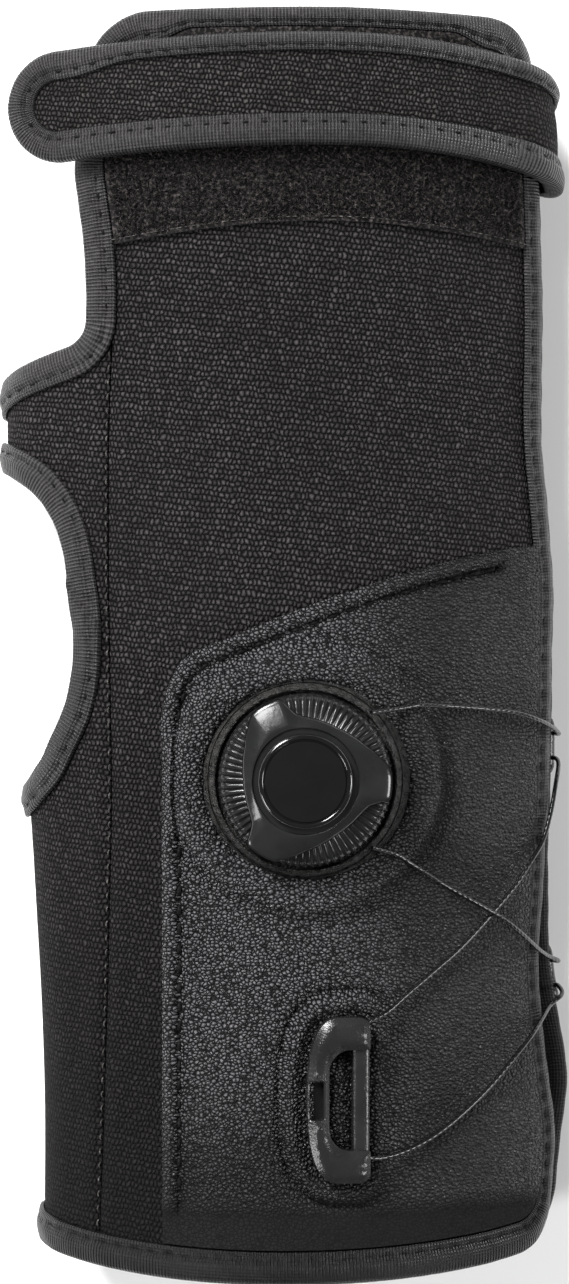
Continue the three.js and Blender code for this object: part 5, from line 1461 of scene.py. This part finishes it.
class GLOVE_OT_strap(bpy.types.Operator):
    """Builds the closing strap, its tape, its stitches and the hook pad under it."""

    bl_idname = "glove.strap"
    bl_label = "Closing strap"

    def execute(self, context):
        glove = context.scene.glove_sizes
        pattern = Pattern(glove)
        thickness, gap, pitch = in_mm(glove, "tape_thickness", "seat_gap", "stitch_pitch")
        reach, stitch = 4.9, 3.3
        half = glove.strap_width / MM / 2 - 1.0
        tip = -pattern.half_width * STRAP_TIP + half
        bottom = 2.7
        top = bottom + glove.strap_thickness / MM
        edge = strap_edge(pattern, glove, 1.0)

        def put(u, v, w):
            """The strap narrows from below towards its root."""
            below = np.clip((strap_line(pattern, u) - v) / half, 0, 1.2)
            trim = 7.0 * below * smooth((u - strap_root(pattern) + 30.0) / 18.0)
            return place_strap(pattern, u, v + trim, w)

        def put_tape(u, v, w):
            """The upper tape is folded further back than the lower one."""
            inward = strap_line(pattern, u) + half - v
            squeeze = 0.42 * smooth((u - tip - 3.0) / 14.0)
            return put(u, v + squeeze * fold_depth(inward), w)

        def heights(verts):
            u, v = verts.T
            quilt = 0.10 * np.sin(u / 4.2 + np.sin(v / 5.0)) * np.sin(v / 3.1)
            return top + 0.55 * smooth(edge_distance([edge], verts) / 8.0) + quilt, bottom

        cloth, cut = slab("strap_cloth", [edge], 1.6, (0.8,), heights, put, "strap_weave",
                          replaces=("strap",), slot="canvas", crease=50)
        laid_sheet(cloth, cut)
        section = tape_section(reach, top, bottom, thickness, gap)
        line = strap_edge(pattern, glove, 0.8)
        add_tape("strap_binding", line, section, put_tape, False, tape_profile(reach, top, stitch, pitch))
        runs = [(inset(line, stitch, False)[3:-3], top + gap + thickness - STITCH_SINK, False)]
        stitches("strap_stitches", "stitch_thread", runs, put_tape, pitch=pitch, **TAPE_THREAD)
        self.hook_pad(pattern, glove.hook_thickness / MM)
        return {"FINISHED"}

    def hook_pad(self, pattern, thickness):
        """The hook fabric between the strap and the loop patch."""
        bottom, half = 1.8, 5.25
        us = np.linspace(-pattern.half_width * 0.679, pattern.half_width * 0.536, 70)
        low = np.stack([us, strap_line(pattern, us) - half], -1)
        high = np.stack([us[::-1], strap_line(pattern, us[::-1]) + half], -1)

        def heights(verts):
            hooks = 0.25 * np.abs(np.sin(verts[:, 0] * 2.0) * np.sin(verts[:, 1] * 2.3))
            return bottom + thickness - hooks, bottom

        pad, cut = slab("hook_pad_cloth", [np.vstack([low, high])], 1.5, (), heights, pattern.place,
                        "hook_cloth", replaces=("hook_pad",), slot="hook_fabric")
        laid_sheet(pad, cut)


def leather_outline(pattern, glove, step):
    """Outline of the leather overlay: inside the tape, with a swooping upper edge."""
    clear = pattern.tape + 0.3
    left = -glove.leather_left / MM
    level = pattern.along(LEATHER_TOP_ALONG)
    right = float(pattern.back_edge(level)) - clear
    round_ = glove.leather_round / MM
    us = np.linspace(right, left + round_, 60)
    edge = [(u, level - 24.0 * ((right - u) / (right - left)) ** 1.5) for u in us]
    last = edge[-1][1]
    corner = [(left + 0.28 * round_, last - 0.35 * round_), (left, last - 1.1 * round_)]
    end = float(pattern.cuff_line(left)) + clear
    down = [(left, last - 1.1 * round_ - k * 6.0) for k in range(1, 200)]
    down = [p for p in down if p[1] > end + 3]
    upper = curve_through(edge[-3:] + corner + down[:2], steps=6)[12:]
    line = np.vstack([edge[:-2], upper, down[2:], [(left, end)]])
    inner = inset(outer_outline(pattern, step), clear)
    rest = inner[(inner[:, 0] > left) & (inner[:, 1] < level - 0.5)]
    return spaced(np.vstack([line, from_nearest(rest, (left, end))]), step)


def handle_shape(dial, grow, step):
    """Outline of the D-shaped handle round its own middle, grown by a distance."""
    half, right = dial.handle_length / MM / 2 + grow, dial.handle_width / MM / 2 + grow
    corner = dial.handle_corner / MM

    def bezier(count, *points):
        """A curve without its first point."""
        last = len(points) - 1
        s = np.linspace(0, 1, count)[1:, None]
        shares = [math.comb(last, k) * s ** k * (1 - s) ** (last - k) for k in range(last + 1)]
        return sum(part * np.array(point) for part, point in zip(shares, points))

    line = [
        [(right, -half + corner), (right, half - corner)],
        bezier(8, (right, half - corner), (right, half), (right - corner, half)),
        [(0.0, half)],
        bezier(24, (0, half), (-0.8 * right, half), (-right, 0.55 * half), (-right, 0)),
        bezier(24, (-right, 0), (-right, -0.55 * half), (-0.8 * right, -half), (0, -half)),
        [(right - corner, -half)],
        bezier(8, (right - corner, -half), (right, -half), (right, -half + corner)),
    ]
    return spaced(np.vstack(line), step)


def stand_on(pattern, u, v):
    """A flat place on the pattern: its origin, and its directions across, along and out."""
    across = pattern.place(u + 0.5, v, 0.0) - pattern.place(u - 0.5, v, 0.0)
    across = across / np.linalg.norm(across)
    along = np.array([0.0, 1.0, 0.0])
    return pattern.place(u, v, 0.0), across, along, np.cross(across, along)


def from_flat(stand, points):
    """Points given across, along and out of a flat place."""
    at, across, along, out = stand
    points = np.asarray(points, float)
    return at + points[:, :1] * across + points[:, 1:2] * along + points[:, 2:] * out


class GLOVE_OT_leather(bpy.types.Operator):
    """Builds the leather overlay with its turned edge, its dial hole and the handle's pocket."""

    bl_idname = "glove.leather"
    bl_label = "Leather overlay"

    def execute(self, context):
        glove, dial = context.scene.glove_sizes, context.scene.glove_dial
        pattern = Pattern(glove)
        outline = leather_outline(pattern, glove, 1.3)
        outer = (dial.knob_radius + dial.bezel_clearance + dial.bezel_wall) / MM
        hole_radius, flange = outer + dial.leather_gap / MM, outer + dial.flange_reach / MM
        hole = self.ring(pattern, hole_radius, 150, 0.22)[::-1]
        handle_at = handle_middle(pattern, dial)
        rings = [self.ring(pattern, r, 130) for r in np.arange(hole_radius + 0.8, flange + 7, 0.8)]
        rings += [handle_shape(dial, grow, 0.9) + handle_at
                  for grow in (-3.6, 0.0, 1.0, 1.8, 2.6, 3.4, 4.2, 4.9, 5.6, 6.6)]

        def heights(verts):
            return self.heights(pattern, glove, dial, verts, outline, flange, hole_radius)

        cover, cut = slab("leather_panel_cover", [outline, hole], 1.5,
                          (0.5, 1.1, 1.9, 2.6, 3.1, 3.6, 4.3, 5.2), heights, pattern.place,
                          "grain_leather", extra=np.vstack(rings), replaces=("leather_panel",),
                          slot="leather", crease=50)
        laid_sheet(cover, cut)
        seam = inset(outline, glove.leather_band / MM + 0.25)
        kept = (seam[:, 1] < pattern.along(LEATHER_TOP_ALONG) - 3.5) & (seam[:, 0] < 42)
        kept &= seam[:, 1] > pattern.cuff + 18
        start = next(i for i in range(len(kept)) if kept[i] and not kept[i - 1])
        part = np.roll(seam, -start, axis=0)[:int(kept.sum())]
        runs = [(part, glove.seat_gap / MM + glove.leather_thickness / MM - 0.30, False)]
        stitches("leather_stitches", "stitch_thread", runs, pattern.place,
                 radius=0.42, pitch=3.8, dash=0.58, lift=0.05)
        return {"FINISHED"}

    def ring(self, pattern, radius, count, ragged=0.0):
        """Circle round the dial on the pattern, seen straight from above; a cut edge is ragged."""
        turn = np.arange(count) * 2 * HALF_TURN / count
        radius = radius + ragged * (0.6 * np.sin(turn * 17 + 1) + 0.4 * np.sin(turn * 41))
        x, v = pattern.dial[0] + radius * np.cos(turn), pattern.dial[1] + radius * np.sin(turn)
        return np.stack([pattern.from_above(x, v), v], -1)

    def heights(self, pattern, glove, dial, verts, outline, flange, hole_radius):
        """Heights of the leather's face and of its underside over the pattern."""
        thickness, gap, band = in_mm(glove, "leather_thickness", "seat_gap", "leather_band")
        u, v = verts.T
        crown = pattern.crown(u, v)
        r = np.hypot(crown * np.sin(u / crown) - pattern.dial[0], v - pattern.dial[1])
        over = 1 - smooth((r - flange - gap) / (dial.leather_blend / MM))
        bottom = gap + (dial.flange_thickness / MM + gap) * over
        from_edge = edge_distance([outline], verts)
        turned_edge = (v > pattern.cuff + 12) & (u < 44)
        fold = 0.9 * np.sqrt(np.clip(1 - ((from_edge - band / 2) / (band / 2)) ** 2, 0, 1))
        groove = -0.85 * ridge(from_edge, band + 0.25, 0.55)
        top = bottom + thickness + np.where(turned_edge, fold + groove, 0.0)
        from_hole = r - hole_radius
        top -= 0.75 * np.clip(1 - from_hole / 0.9, 0, 1) ** 2
        top += 0.45 * ridge(from_hole, 3.4, 2.0) - 0.50 * ridge(r, flange + 2.6, 1.2)
        top -= 0.35 * smooth((pattern.cuff + LOW_BAND - v) / 1.2)
        handle_at = handle_middle(pattern, dial)
        handle = handle_shape(dial, 0.0, 0.9) + handle_at
        pocket = edge_distance([handle], verts) * np.where(inside(handle, verts), -1, 1)
        left = smooth((handle_at[0] + 11.0 - u) / 6.0)
        lip = 1.7 * ridge(pocket, 2.5, 1.6) - 1.5 * ridge(pocket, 5.0, 0.65) - 0.6 * ridge(pocket, 0.3, 0.5)
        window = window_outline(dial, 0.2, BAR_LEFT, 0.8) + handle_at
        swell = np.where(inside(window, verts), edge_distance([window], verts), 0.0)
        top += lip * left - 0.35 * smooth(-pocket / 0.8) + 1.9 * smooth(swell / 1.6)
        wave = 0.22 * np.sin(u / 8.3 + 0.6) * np.sin(v / 11.7)
        return top + wave * smooth(from_edge / 5.0), bottom


# Turned and moulded pieces


def turned(name, centre, rows, segments, ring):
    """Closed turned piece, as by hand: a circle that is extruded and scaled ring by ring.

    rows hold the radius and the height of each ring. The two open ends are joined where the piece is a
    ring, and filled where it isn't.
    """
    bpy.ops.object.select_all(action="DESELECT")
    radius, height = rows[0]
    bpy.ops.mesh.primitive_circle_add(
        vertices=segments, radius=radius * MM, fill_type="NOTHING",
        location=(centre[0] * MM, centre[1] * MM, (centre[2] + height) * MM),
    )
    made = bpy.context.object
    made.name = name
    bpy.ops.object.transform_apply(location=True, rotation=True, scale=True)
    edit_all(made)
    for (before, low), (reach, high) in zip(rows, rows[1:]):
        bpy.ops.mesh.extrude_edges_move(TRANSFORM_OT_translate={"value": (0, 0, (high - low) * MM)})
        middle = (centre[0] * MM, centre[1] * MM, (centre[2] + high) * MM)
        bpy.ops.transform.resize(value=(reach / before, reach / before, 1), center_override=middle)
    bpy.ops.mesh.select_all(action="DESELECT")
    bpy.ops.mesh.select_mode(type="EDGE")
    bpy.ops.mesh.select_non_manifold()
    if ring:
        bpy.ops.mesh.bridge_edge_loops()
    else:
        bpy.ops.mesh.fill_holes(sides=0)
    bpy.ops.object.mode_set(mode="OBJECT")
    face_outwards(made)
    return made


def reshape(obj, change):
    """Moves an object's points by a function of their places in millimetres."""
    mesh = obj.data
    flat = np.zeros(len(mesh.vertices) * 3)
    mesh.vertices.foreach_get("co", flat)
    mesh.vertices.foreach_set("co", (change(flat.reshape(-1, 3) / MM) * MM).ravel())
    mesh.update()


def dial_place(pattern):
    """The dial's middle and the level it stands on, in millimetres."""
    low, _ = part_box("dial_axle")
    return np.array([*(pattern.dial + pattern.shift[:2]), low.z / MM - 0.6])


def polar(points, centre):
    """Distance and direction of points round the dial's axis."""
    x, y = points[:, 0] - centre[0], points[:, 1] - centre[1]
    return np.hypot(x, y), np.arctan2(y, x)


def with_radius(points, centre, radius, turn):
    """The same points at other distances from the dial's axis."""
    moved = points.copy()
    moved[:, 0] = centre[0] + radius * np.cos(turn)
    moved[:, 1] = centre[1] + radius * np.sin(turn)
    return moved


class GLOVE_OT_dial_base(bpy.types.Operator):
    """Builds the dial's base: a rough bezel, its floor and the flange under the leather."""

    bl_idname = "glove.dial_base"
    bl_label = "Dial base"

    segments: IntProperty(name="Segments", description="Points round the bezel", default=180, min=24)

    def execute(self, context):
        dial = context.scene.glove_dial
        pattern = Pattern(context.scene.glove_sizes)
        centre = dial_place(pattern)
        inner = (dial.knob_radius + dial.bezel_clearance) / MM
        outer = inner + dial.bezel_wall / MM
        flange = outer + dial.flange_reach / MM
        top, floor = dial.bezel_height / MM, dial.dial_floor / MM
        low, high = 0.3, 0.3 + dial.flange_thickness / MM
        rows = [
            (flange, low), (flange, high - 0.2), (flange - 0.2, high), (outer + 2.5, high),
            (outer + 0.4, high + 0.2), (outer + 0.1, high + 0.7), (outer, top - 3.4),
            (outer - 0.1, top - 2.9), (outer - 0.4, top - 2.4), (outer - 0.8, top - 2.0),
            (outer - 1.1, top - 1.7), (inner + 0.3, top - 1.5), (inner + 0.05, top - 1.6),
            (inner, top - 1.9), (inner, floor + 0.2), (inner - 0.2, floor), (inner - 4.0, floor),
            (AXLE_HOLE, floor), (AXLE_HOLE - 0.1, floor - 0.1), (AXLE_HOLE - 0.1, low + 0.5),
            (AXLE_HOLE + 0.1, low), (8.0, low), (outer, low),
        ]
        base = turned("dial_base_shell", centre, rows, self.segments, True)

        def drape(points):
            """The flange follows the back of the hand, and the bezel's top is rough."""
            r, turn = polar(points, centre)
            flat = points - pattern.shift
            height = points[:, 2] - centre[2]
            laid = pattern.place(pattern.from_above(flat[:, 0], flat[:, 1]), flat[:, 1], height)
            part = smooth((r - outer - 0.1) / 0.8) * smooth((high + 1.2 - height) / 0.8)
            part = np.maximum(part, smooth((low + 0.3 - height) / 0.1) * smooth((r - 8.5) / 2))
            rough = 0.10 * np.sin(turn * 37) * np.sin(turn * 11 + 2) + 0.07 * np.sin(turn * 61 + r * 5)
            moved = points.copy()
            moved[:, 2] += (laid[:, 2] - points[:, 2]) * part
            moved[:, 2] += 1.6 * rough * smooth((height - top + 3.0) / 0.5)
            return moved

        reshape(base, drape)
        finish_piece(base, "rough_dial_plastic", replaces=("dial_base",), slot="dial_plastic", crease=40)
        return {"FINISHED"}


class GLOVE_OT_dial_knob(bpy.types.Operator):
    """Builds the turning knob: its ribbed ring, the swirl with three windows and the glossy cap."""

    bl_idname = "glove.dial_knob"
    bl_label = "Dial knob"

    def execute(self, context):
        dial = context.scene.glove_dial
        centre = dial_place(Pattern(context.scene.glove_sizes))
        self.ribbed_ring(dial, centre)
        self.swirl(dial, centre)
        self.cap(dial, centre)
        return {"FINISHED"}

    def ribbed_ring(self, dial, centre):
        """Ring with ribs that run over its edge."""
        reach = dial.knob_radius / MM
        low = 2.9
        top = low + dial.knob_height / MM
        ribs = round(dial.rib_count)
        rows = [
            (AXLE_HOLE, low), (reach - 0.7, low), (reach, low + 0.6), (reach, top - 1.9),
            (reach - 0.25, top - 1.2), (reach - 0.9, top - 0.6), (reach - 1.8, top - 0.25),
            (reach - 3.0, top - 0.1), (reach - 4.4, top),
            (reach - 5.6, top), (6.0, top), (AXLE_HOLE, top), (AXLE_HOLE, top - 1.0),
        ]
        ring = turned("dial_knob_ring", centre, rows, ribs * 6, True)

        def rib(points):
            r, turn = polar(points, centre)
            cut = dial.rib_depth / MM * (1 - (0.5 + 0.5 * np.cos(turn * ribs)) ** 1.7)
            height = points[:, 2] - centre[2]
            on_side = smooth((height - low - 0.7) / 0.5) * smooth((r - reach + 5.2) / 1.2)
            moved = with_radius(points, centre, r - cut * on_side * smooth((r - reach + 1.4) / 0.6), turn)
            moved[:, 2] -= cut * on_side * smooth((height - top + 1.6) / 0.8) * 1.2
            return moved

        reshape(ring, rib)
        finish_piece(ring, "satin_knob_plastic", "dial_wheel", ("dial_knob",), "knob_plastic", crease=50)

    def swirl(self, dial, centre):
        """Plate whose edge dips inwards at three windows, outside a round hub."""
        reach, hub = dial.knob_radius / MM, 0.60
        low = 9.3
        top = low + dial.grip_thickness / MM
        rows = [
            (0.86, low), (0.985, low), (0.998, low + 0.1), (1.0, low + 0.25), (0.992, top - 1.42),
            (0.975, top - 1.18), (0.945, top - 0.98), (0.90, top - 0.78), (0.85, top - 0.58),
            (0.79, top - 0.36), (0.73, top - 0.15), (0.68, top + 0.01), (0.645, top + 0.08),
            (0.62, top + 0.02), (0.60, top - 0.35), (0.5, top - 0.4), (0.40, top - 0.4),
            (0.25, top - 0.4), (0.06, top - 0.4),
        ]
        plate = turned("dial_grip_swirl", centre, [(r * reach, z) for r, z in rows], 540, False)
        keys, values = np.array([*GRIP_ROWS, (1.0, GRIP_ROWS[0][1])]).T

        def swirl_edge(points):
            r, turn = polar(points, centre)
            edge = np.interp(np.mod((dial.grip_start - turn) / (2 * HALF_TURN / 3), 1.0), keys, values)
            part = r / reach
            outer = hub + (part - hub) * (edge - hub) / (1.0 - hub)
            return with_radius(points, centre, reach * np.where(part > hub, outer, part), turn)

        reshape(plate, swirl_edge)
        finish_piece(plate, "satin_grip_plastic", "dial_wheel", ("dial_grip",), "grip_plastic", crease=40)

    def cap(self, dial, centre):
        """Glossy disc inside a raised rim."""
        reach = dial.cap_radius / MM
        low = 11.1
        top = low + dial.cap_height / MM
        rows = [
            (reach - 0.5, low), (reach, low + 0.2), (reach, top - 0.45), (reach - 0.12, top - 0.2),
            (reach - 0.4, top - 0.02), (reach - 0.75, top), (reach - 0.95, top - 0.12),
            (reach - 1.05, top - 0.35), (reach - 1.2, top - 0.35), (reach - 1.35, top - 0.1),
            (reach - 1.7, top - 0.05), (4.0, top - 0.03), (1.0, top),
        ]
        disc = turned("dial_cap_disc", centre, rows, 120, False)
        finish_piece(disc, "glossy_cap_plastic", "dial_wheel", ("dial_cap",), "cap_plastic", crease=40)


class GLOVE_OT_axle(bpy.types.Operator):
    """Gives the dial's axle, which stays as it is in the frame, its finish."""

    bl_idname = "glove.axle"
    bl_label = "Dial axle"

    def execute(self, context):
        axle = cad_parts["dial_axle"]
        if not axle.material_slots:
            axle.data.materials.append(bpy.data.materials["rough_dial_plastic"])
        for slot in axle.material_slots:
            slot.material = bpy.data.materials["rough_dial_plastic"]
        return {"FINISHED"}


def handle_middle(pattern, dial):
    """The handle's middle on the pattern."""
    return np.array([dial.handle_across / MM, pattern.along(HANDLE_ALONG)])


def slot_path(across, slot_length, width, step):
    """Outline of an upright slot with small corners, clockwise as a hole is."""
    left, right, half, corner = across - width / 2, across + width / 2, slot_length / 2, 0.4
    corners = ((left, -half), (left, half), (right, half), (right, -half))
    return spaced(rounded([(*place, corner) for place in corners]), step)


def window_outline(dial, grow, right, step):
    """Outline of the handle's D-shaped window, clockwise as a hole is."""
    half, left = dial.window_length / MM / 2 + grow, 0.5 - dial.window_width / MM / 2 - grow
    points = [(left, -half, WINDOW_ROUND), (left, half, WINDOW_ROUND), (right, half, 0), (right, -half, 0)]
    return spaced(rounded(points), step)


class GLOVE_OT_lace_handle(bpy.types.Operator):
    """Builds the D-shaped handle: its arms with a clip slot, its low bar and the plate under it."""

    bl_idname = "glove.lace_handle"
    bl_label = "Lace handle"

    bar_drop: length("Bar drop", 1.3, "Height of the arms above the bar")

    def execute(self, context):
        dial = context.scene.glove_dial
        pattern = Pattern(context.scene.glove_sizes)
        stand = stand_on(pattern, *handle_middle(pattern, dial))

        def put(u, v, w):
            return from_flat(stand, np.stack(np.broadcast_arrays(u, v, w), -1))

        loops = [handle_shape(dial, -1.6, 0.8), window_outline(dial, 0.4, BAR_LEFT, 0.8)]
        slab("handle_base_plate", loops, 1.5, (0.4,), lambda verts: (2.9, 1.9), put,
             "moulded_handle_plastic", replaces=("handle_base",), slot="handle_plastic")
        right = dial.handle_width / MM / 2
        self.arms(dial, put, right)
        self.bar(dial, put, right)
        return {"FINISHED"}

    def arms(self, dial, put, right):
        """The two arms and the left side with its slot, chamfered along both edges."""
        half, left = dial.window_length / MM / 2, 0.5 - dial.window_width / MM / 2
        body = handle_shape(dial, 0.0, 0.45)
        body = body[~((np.abs(body[:, 1]) < half) & (body[:, 0] > right - 0.6))]
        body = from_nearest(body, (right, half))
        inner = rounded([(right, half, 0), (left, half, WINDOW_ROUND),
                         (left, -half, WINDOW_ROUND), (right, -half, 0)])
        outline = np.vstack([body, spaced(inner[::-1], 0.45, False)])
        gaps = np.linalg.norm(outline - np.roll(outline, 1, axis=0), axis=1)
        outline = spaced(outline[gaps > 0.02], 0.45)
        slot = slot_path(-4.35, 7.4, 2.8, 0.3)
        low, high = HANDLE_LOW, HANDLE_LOW + dial.handle_thickness / MM

        def heights(verts):
            edge, by_slot = edge_distance([outline], verts), edge_distance([slot], verts)
            slope = 0.85 * (1 - np.clip(edge / 1.3, 0, 1)) + 0.3 * (1 - np.clip(by_slot / 0.3, 0, 1))
            line = 0.12 * smooth((edge - 1.6) / 0.2) - 0.3 * ridge(edge, 1.75, 0.22)
            outer_part = smooth((np.hypot(verts[:, 0] - 6.1, verts[:, 1] * 0.62) - 8.4) / 0.4)
            return high - slope + line + 0.1 * outer_part, low

        slab("lace_handle_arms", [outline, slot], 0.8, (0.3, 0.7, 1.3), heights, put,
             "moulded_handle_plastic", replaces=("lace_handle",), slot="handle_plastic", crease=30)

    def bar(self, dial, put, right):
        """The straight bar between the arms, a little lower and rounded at its edges."""
        half, side = dial.window_length / MM / 2 + 1.2, right - 0.15
        line = spaced([(BAR_LEFT, -half), (side, -half), (side, half), (BAR_LEFT, half)], 0.6)
        high = HANDLE_LOW + (dial.handle_thickness - self.bar_drop) / MM

        def heights(verts):
            return high - 0.35 * (1 - np.clip(edge_distance([line], verts) / 0.6, 0, 1)) ** 2, HANDLE_LOW

        slab("lace_handle_bar", [line], 0.9, (0.25, 0.6), heights, put,
             "moulded_handle_plastic", slot="handle_plastic", crease=40)


def guide_start(pattern, v):
    """Where a guide begins, a little round the edge of the palm panel."""
    return float(pattern.at_angle(v, "palm", math.radians(100))) + 1.0


class GLOVE_OT_edge_guides(bpy.types.Operator):
    """Builds the two rounded guides that turn the lace at the palm side's edge."""

    bl_idname = "glove.edge_guides"
    bl_label = "Edge guides"

    def execute(self, context):
        dial = context.scene.glove_dial
        pattern = Pattern(context.scene.glove_sizes)
        guide_length, reach, thickness = in_mm(dial, "guide_length", "guide_reach", "guide_thickness")
        half, bottom = guide_length / 2, 1.3
        for name, level in GUIDES_ALONG.items():
            v = pattern.along(level)
            start = guide_start(pattern, v)
            end = start + reach
            corners = ((start, v - half), (end, v - half), (end, v + half), (start, v + half))
            line = spaced(rounded([(*corner, guide_length / 5) for corner in corners]), 0.6)

            def heights(verts):
                rim = 0.7 * (1 - np.clip(edge_distance([line], verts) / 0.8, 0, 1)) ** 2
                return bottom + 0.55 * thickness - rim, bottom

            slab("edge_" + name + "_body", [line], 0.9, (0.3, 0.7), heights, pattern.place_palm_side,
                 "moulded_handle_plastic", replaces=("edge_" + name,), slot="handle_plastic", crease=45)
        return {"FINISHED"}


class GLOVE_OT_laces(bpy.types.Operator):
    """Builds the four lace runs between the dial, the guides and the handle."""

    bl_idname = "glove.laces"
    bl_label = "Laces"

    def execute(self, context):
        dial = context.scene.glove_dial
        pattern = Pattern(context.scene.glove_sizes)
        seen, hidden = self.ends(pattern, dial)
        for name, (start, finish, rows) in LACE_RUNS.items():
            a, b = np.array(seen[start]), np.array(seen[finish])
            u, v = (a + np.array(rows)[:, :2] * (b - a)).T
            route = self.place(pattern, dial, u, v, np.array(rows)[:, 2])
            route = curve_through(np.vstack([hidden[start], route, hidden[finish]]), steps=14)
            line = spaced(route, 0.5, False)
            points, faces, uvs = tube(line, dial.lace_diameter / MM / 2, 10)
            lace = add_mesh(name + "_cord", points, faces, corner_uvs=uvs)
            face_outwards(lace)
            finish_piece(lace, "twisted_lace", replaces=(name,), slot="lace", crease=60)
            run = float(distances(line)[-1]) * MM
        return {"FINISHED"}

    def ends(self, pattern, dial):
        """Where the runs start and finish: their last seen places on the pattern, and the points beyond
        them inside the bezel, the handle and the guides."""
        centre = dial_place(pattern)
        dial_u, dial_v = float(pattern.from_above(*pattern.dial)), pattern.dial[1]
        seen, hidden = {}, {}
        for name, degrees, lean in (("dial_upper", 38.0, 0.80), ("dial_lower", -41.0, -0.79)):
            turn = math.radians(degrees)
            seen[name] = (dial_u + 22.4 * math.cos(turn), dial_v + 22.4 * math.sin(turn))
            hidden[name] = centre + [18.1 * math.cos(lean), 18.1 * math.sin(lean), 5.5]
        for name, level in GUIDES_ALONG.items():
            v = pattern.along(level)
            start = guide_start(pattern, v)
            for side, way in (("_far", 2.5), ("_near", -2.5)):
                seen[name + side] = (start - 0.6, v + way)
                hidden[name + side] = pattern.place_palm_side(start + 1.6, v + way, 2.3)
        u, v = handle_middle(pattern, dial)
        right, half = u + dial.handle_width / MM / 2, dial.handle_length / MM / 2
        stand = stand_on(pattern, u, v)
        seen["handle_upper"] = (right + 3.0, v + half + 0.6)
        seen["handle_lower"] = (right + 1.2, v - half + 4.5)
        hidden["handle_upper"] = from_flat(stand, [(5.4, 14.9, 5.2)])
        hidden["handle_lower"] = from_flat(stand, [(5.2, -11.0, 5.2)])
        return seen, hidden

    def place(self, pattern, dial, u, v, w):
        """Points of a run, which passes from the back panel to the palm panel's edge."""
        part = smooth((u - pattern.back_edge(v)) / (dial.guide_reach / MM))[:, None]
        return pattern.place(u, v, w) * (1 - part) + pattern.place_palm_side(u, v, w) * part


class GLOVE_PT_panel(bpy.types.Panel):
    """Lists the glove's sizes, colours and pieces."""

    bl_idname = "GLOVE_PT_panel"
    bl_label = "Bowling glove"
    bl_space_type = "VIEW_3D"
    bl_region_type = "UI"
    bl_category = "Glove"

    def draw(self, context):
        scene = context.scene
        groups = (("Glove", scene.glove_sizes), ("Dial", scene.glove_dial), ("Colours", scene.glove_finishes))
        for title, sizes in groups:
            box = self.layout.box()
            box.label(text=title)
            for key in sizes.__annotations__:
                box.prop(sizes, key)
        for operator in OPERATORS:
            self.layout.operator(operator.bl_idname)


GROUPS = {"glove_sizes": GloveSizes, "glove_dial": DialSizes, "glove_finishes": Finishes}
OPERATORS = (
    GLOVE_OT_materials, GLOVE_OT_stage, GLOVE_OT_canvas, GLOVE_OT_bindings, GLOVE_OT_loop_patch,
    GLOVE_OT_strap, GLOVE_OT_leather, GLOVE_OT_dial_base, GLOVE_OT_dial_knob, GLOVE_OT_axle,
    GLOVE_OT_lace_handle, GLOVE_OT_edge_guides, GLOVE_OT_laces,
)
CLASSES = (*GROUPS.values(), *OPERATORS, GLOVE_PT_panel)


def register():
    for made in CLASSES:
        bpy.utils.register_class(made)
    for key, group in GROUPS.items():
        setattr(bpy.types.Scene, key, PointerProperty(type=group))


def unregister():
    for key in GROUPS:
        delattr(bpy.types.Scene, key)
    for made in reversed(CLASSES):
        bpy.utils.unregister_class(made)


def main():
    register()
    bpy.ops.glove.materials()
    bpy.ops.glove.stage()
    bpy.ops.glove.canvas()
    bpy.ops.glove.bindings()
    bpy.ops.glove.loop_patch()
    bpy.ops.glove.strap()
    bpy.ops.glove.leather()
    bpy.ops.glove.dial_base()
    bpy.ops.glove.dial_knob()
    bpy.ops.glove.axle()
    bpy.ops.glove.lace_handle()
    bpy.ops.glove.edge_guides()
    bpy.ops.glove.laces()


if __name__ == "__main__":
    main()
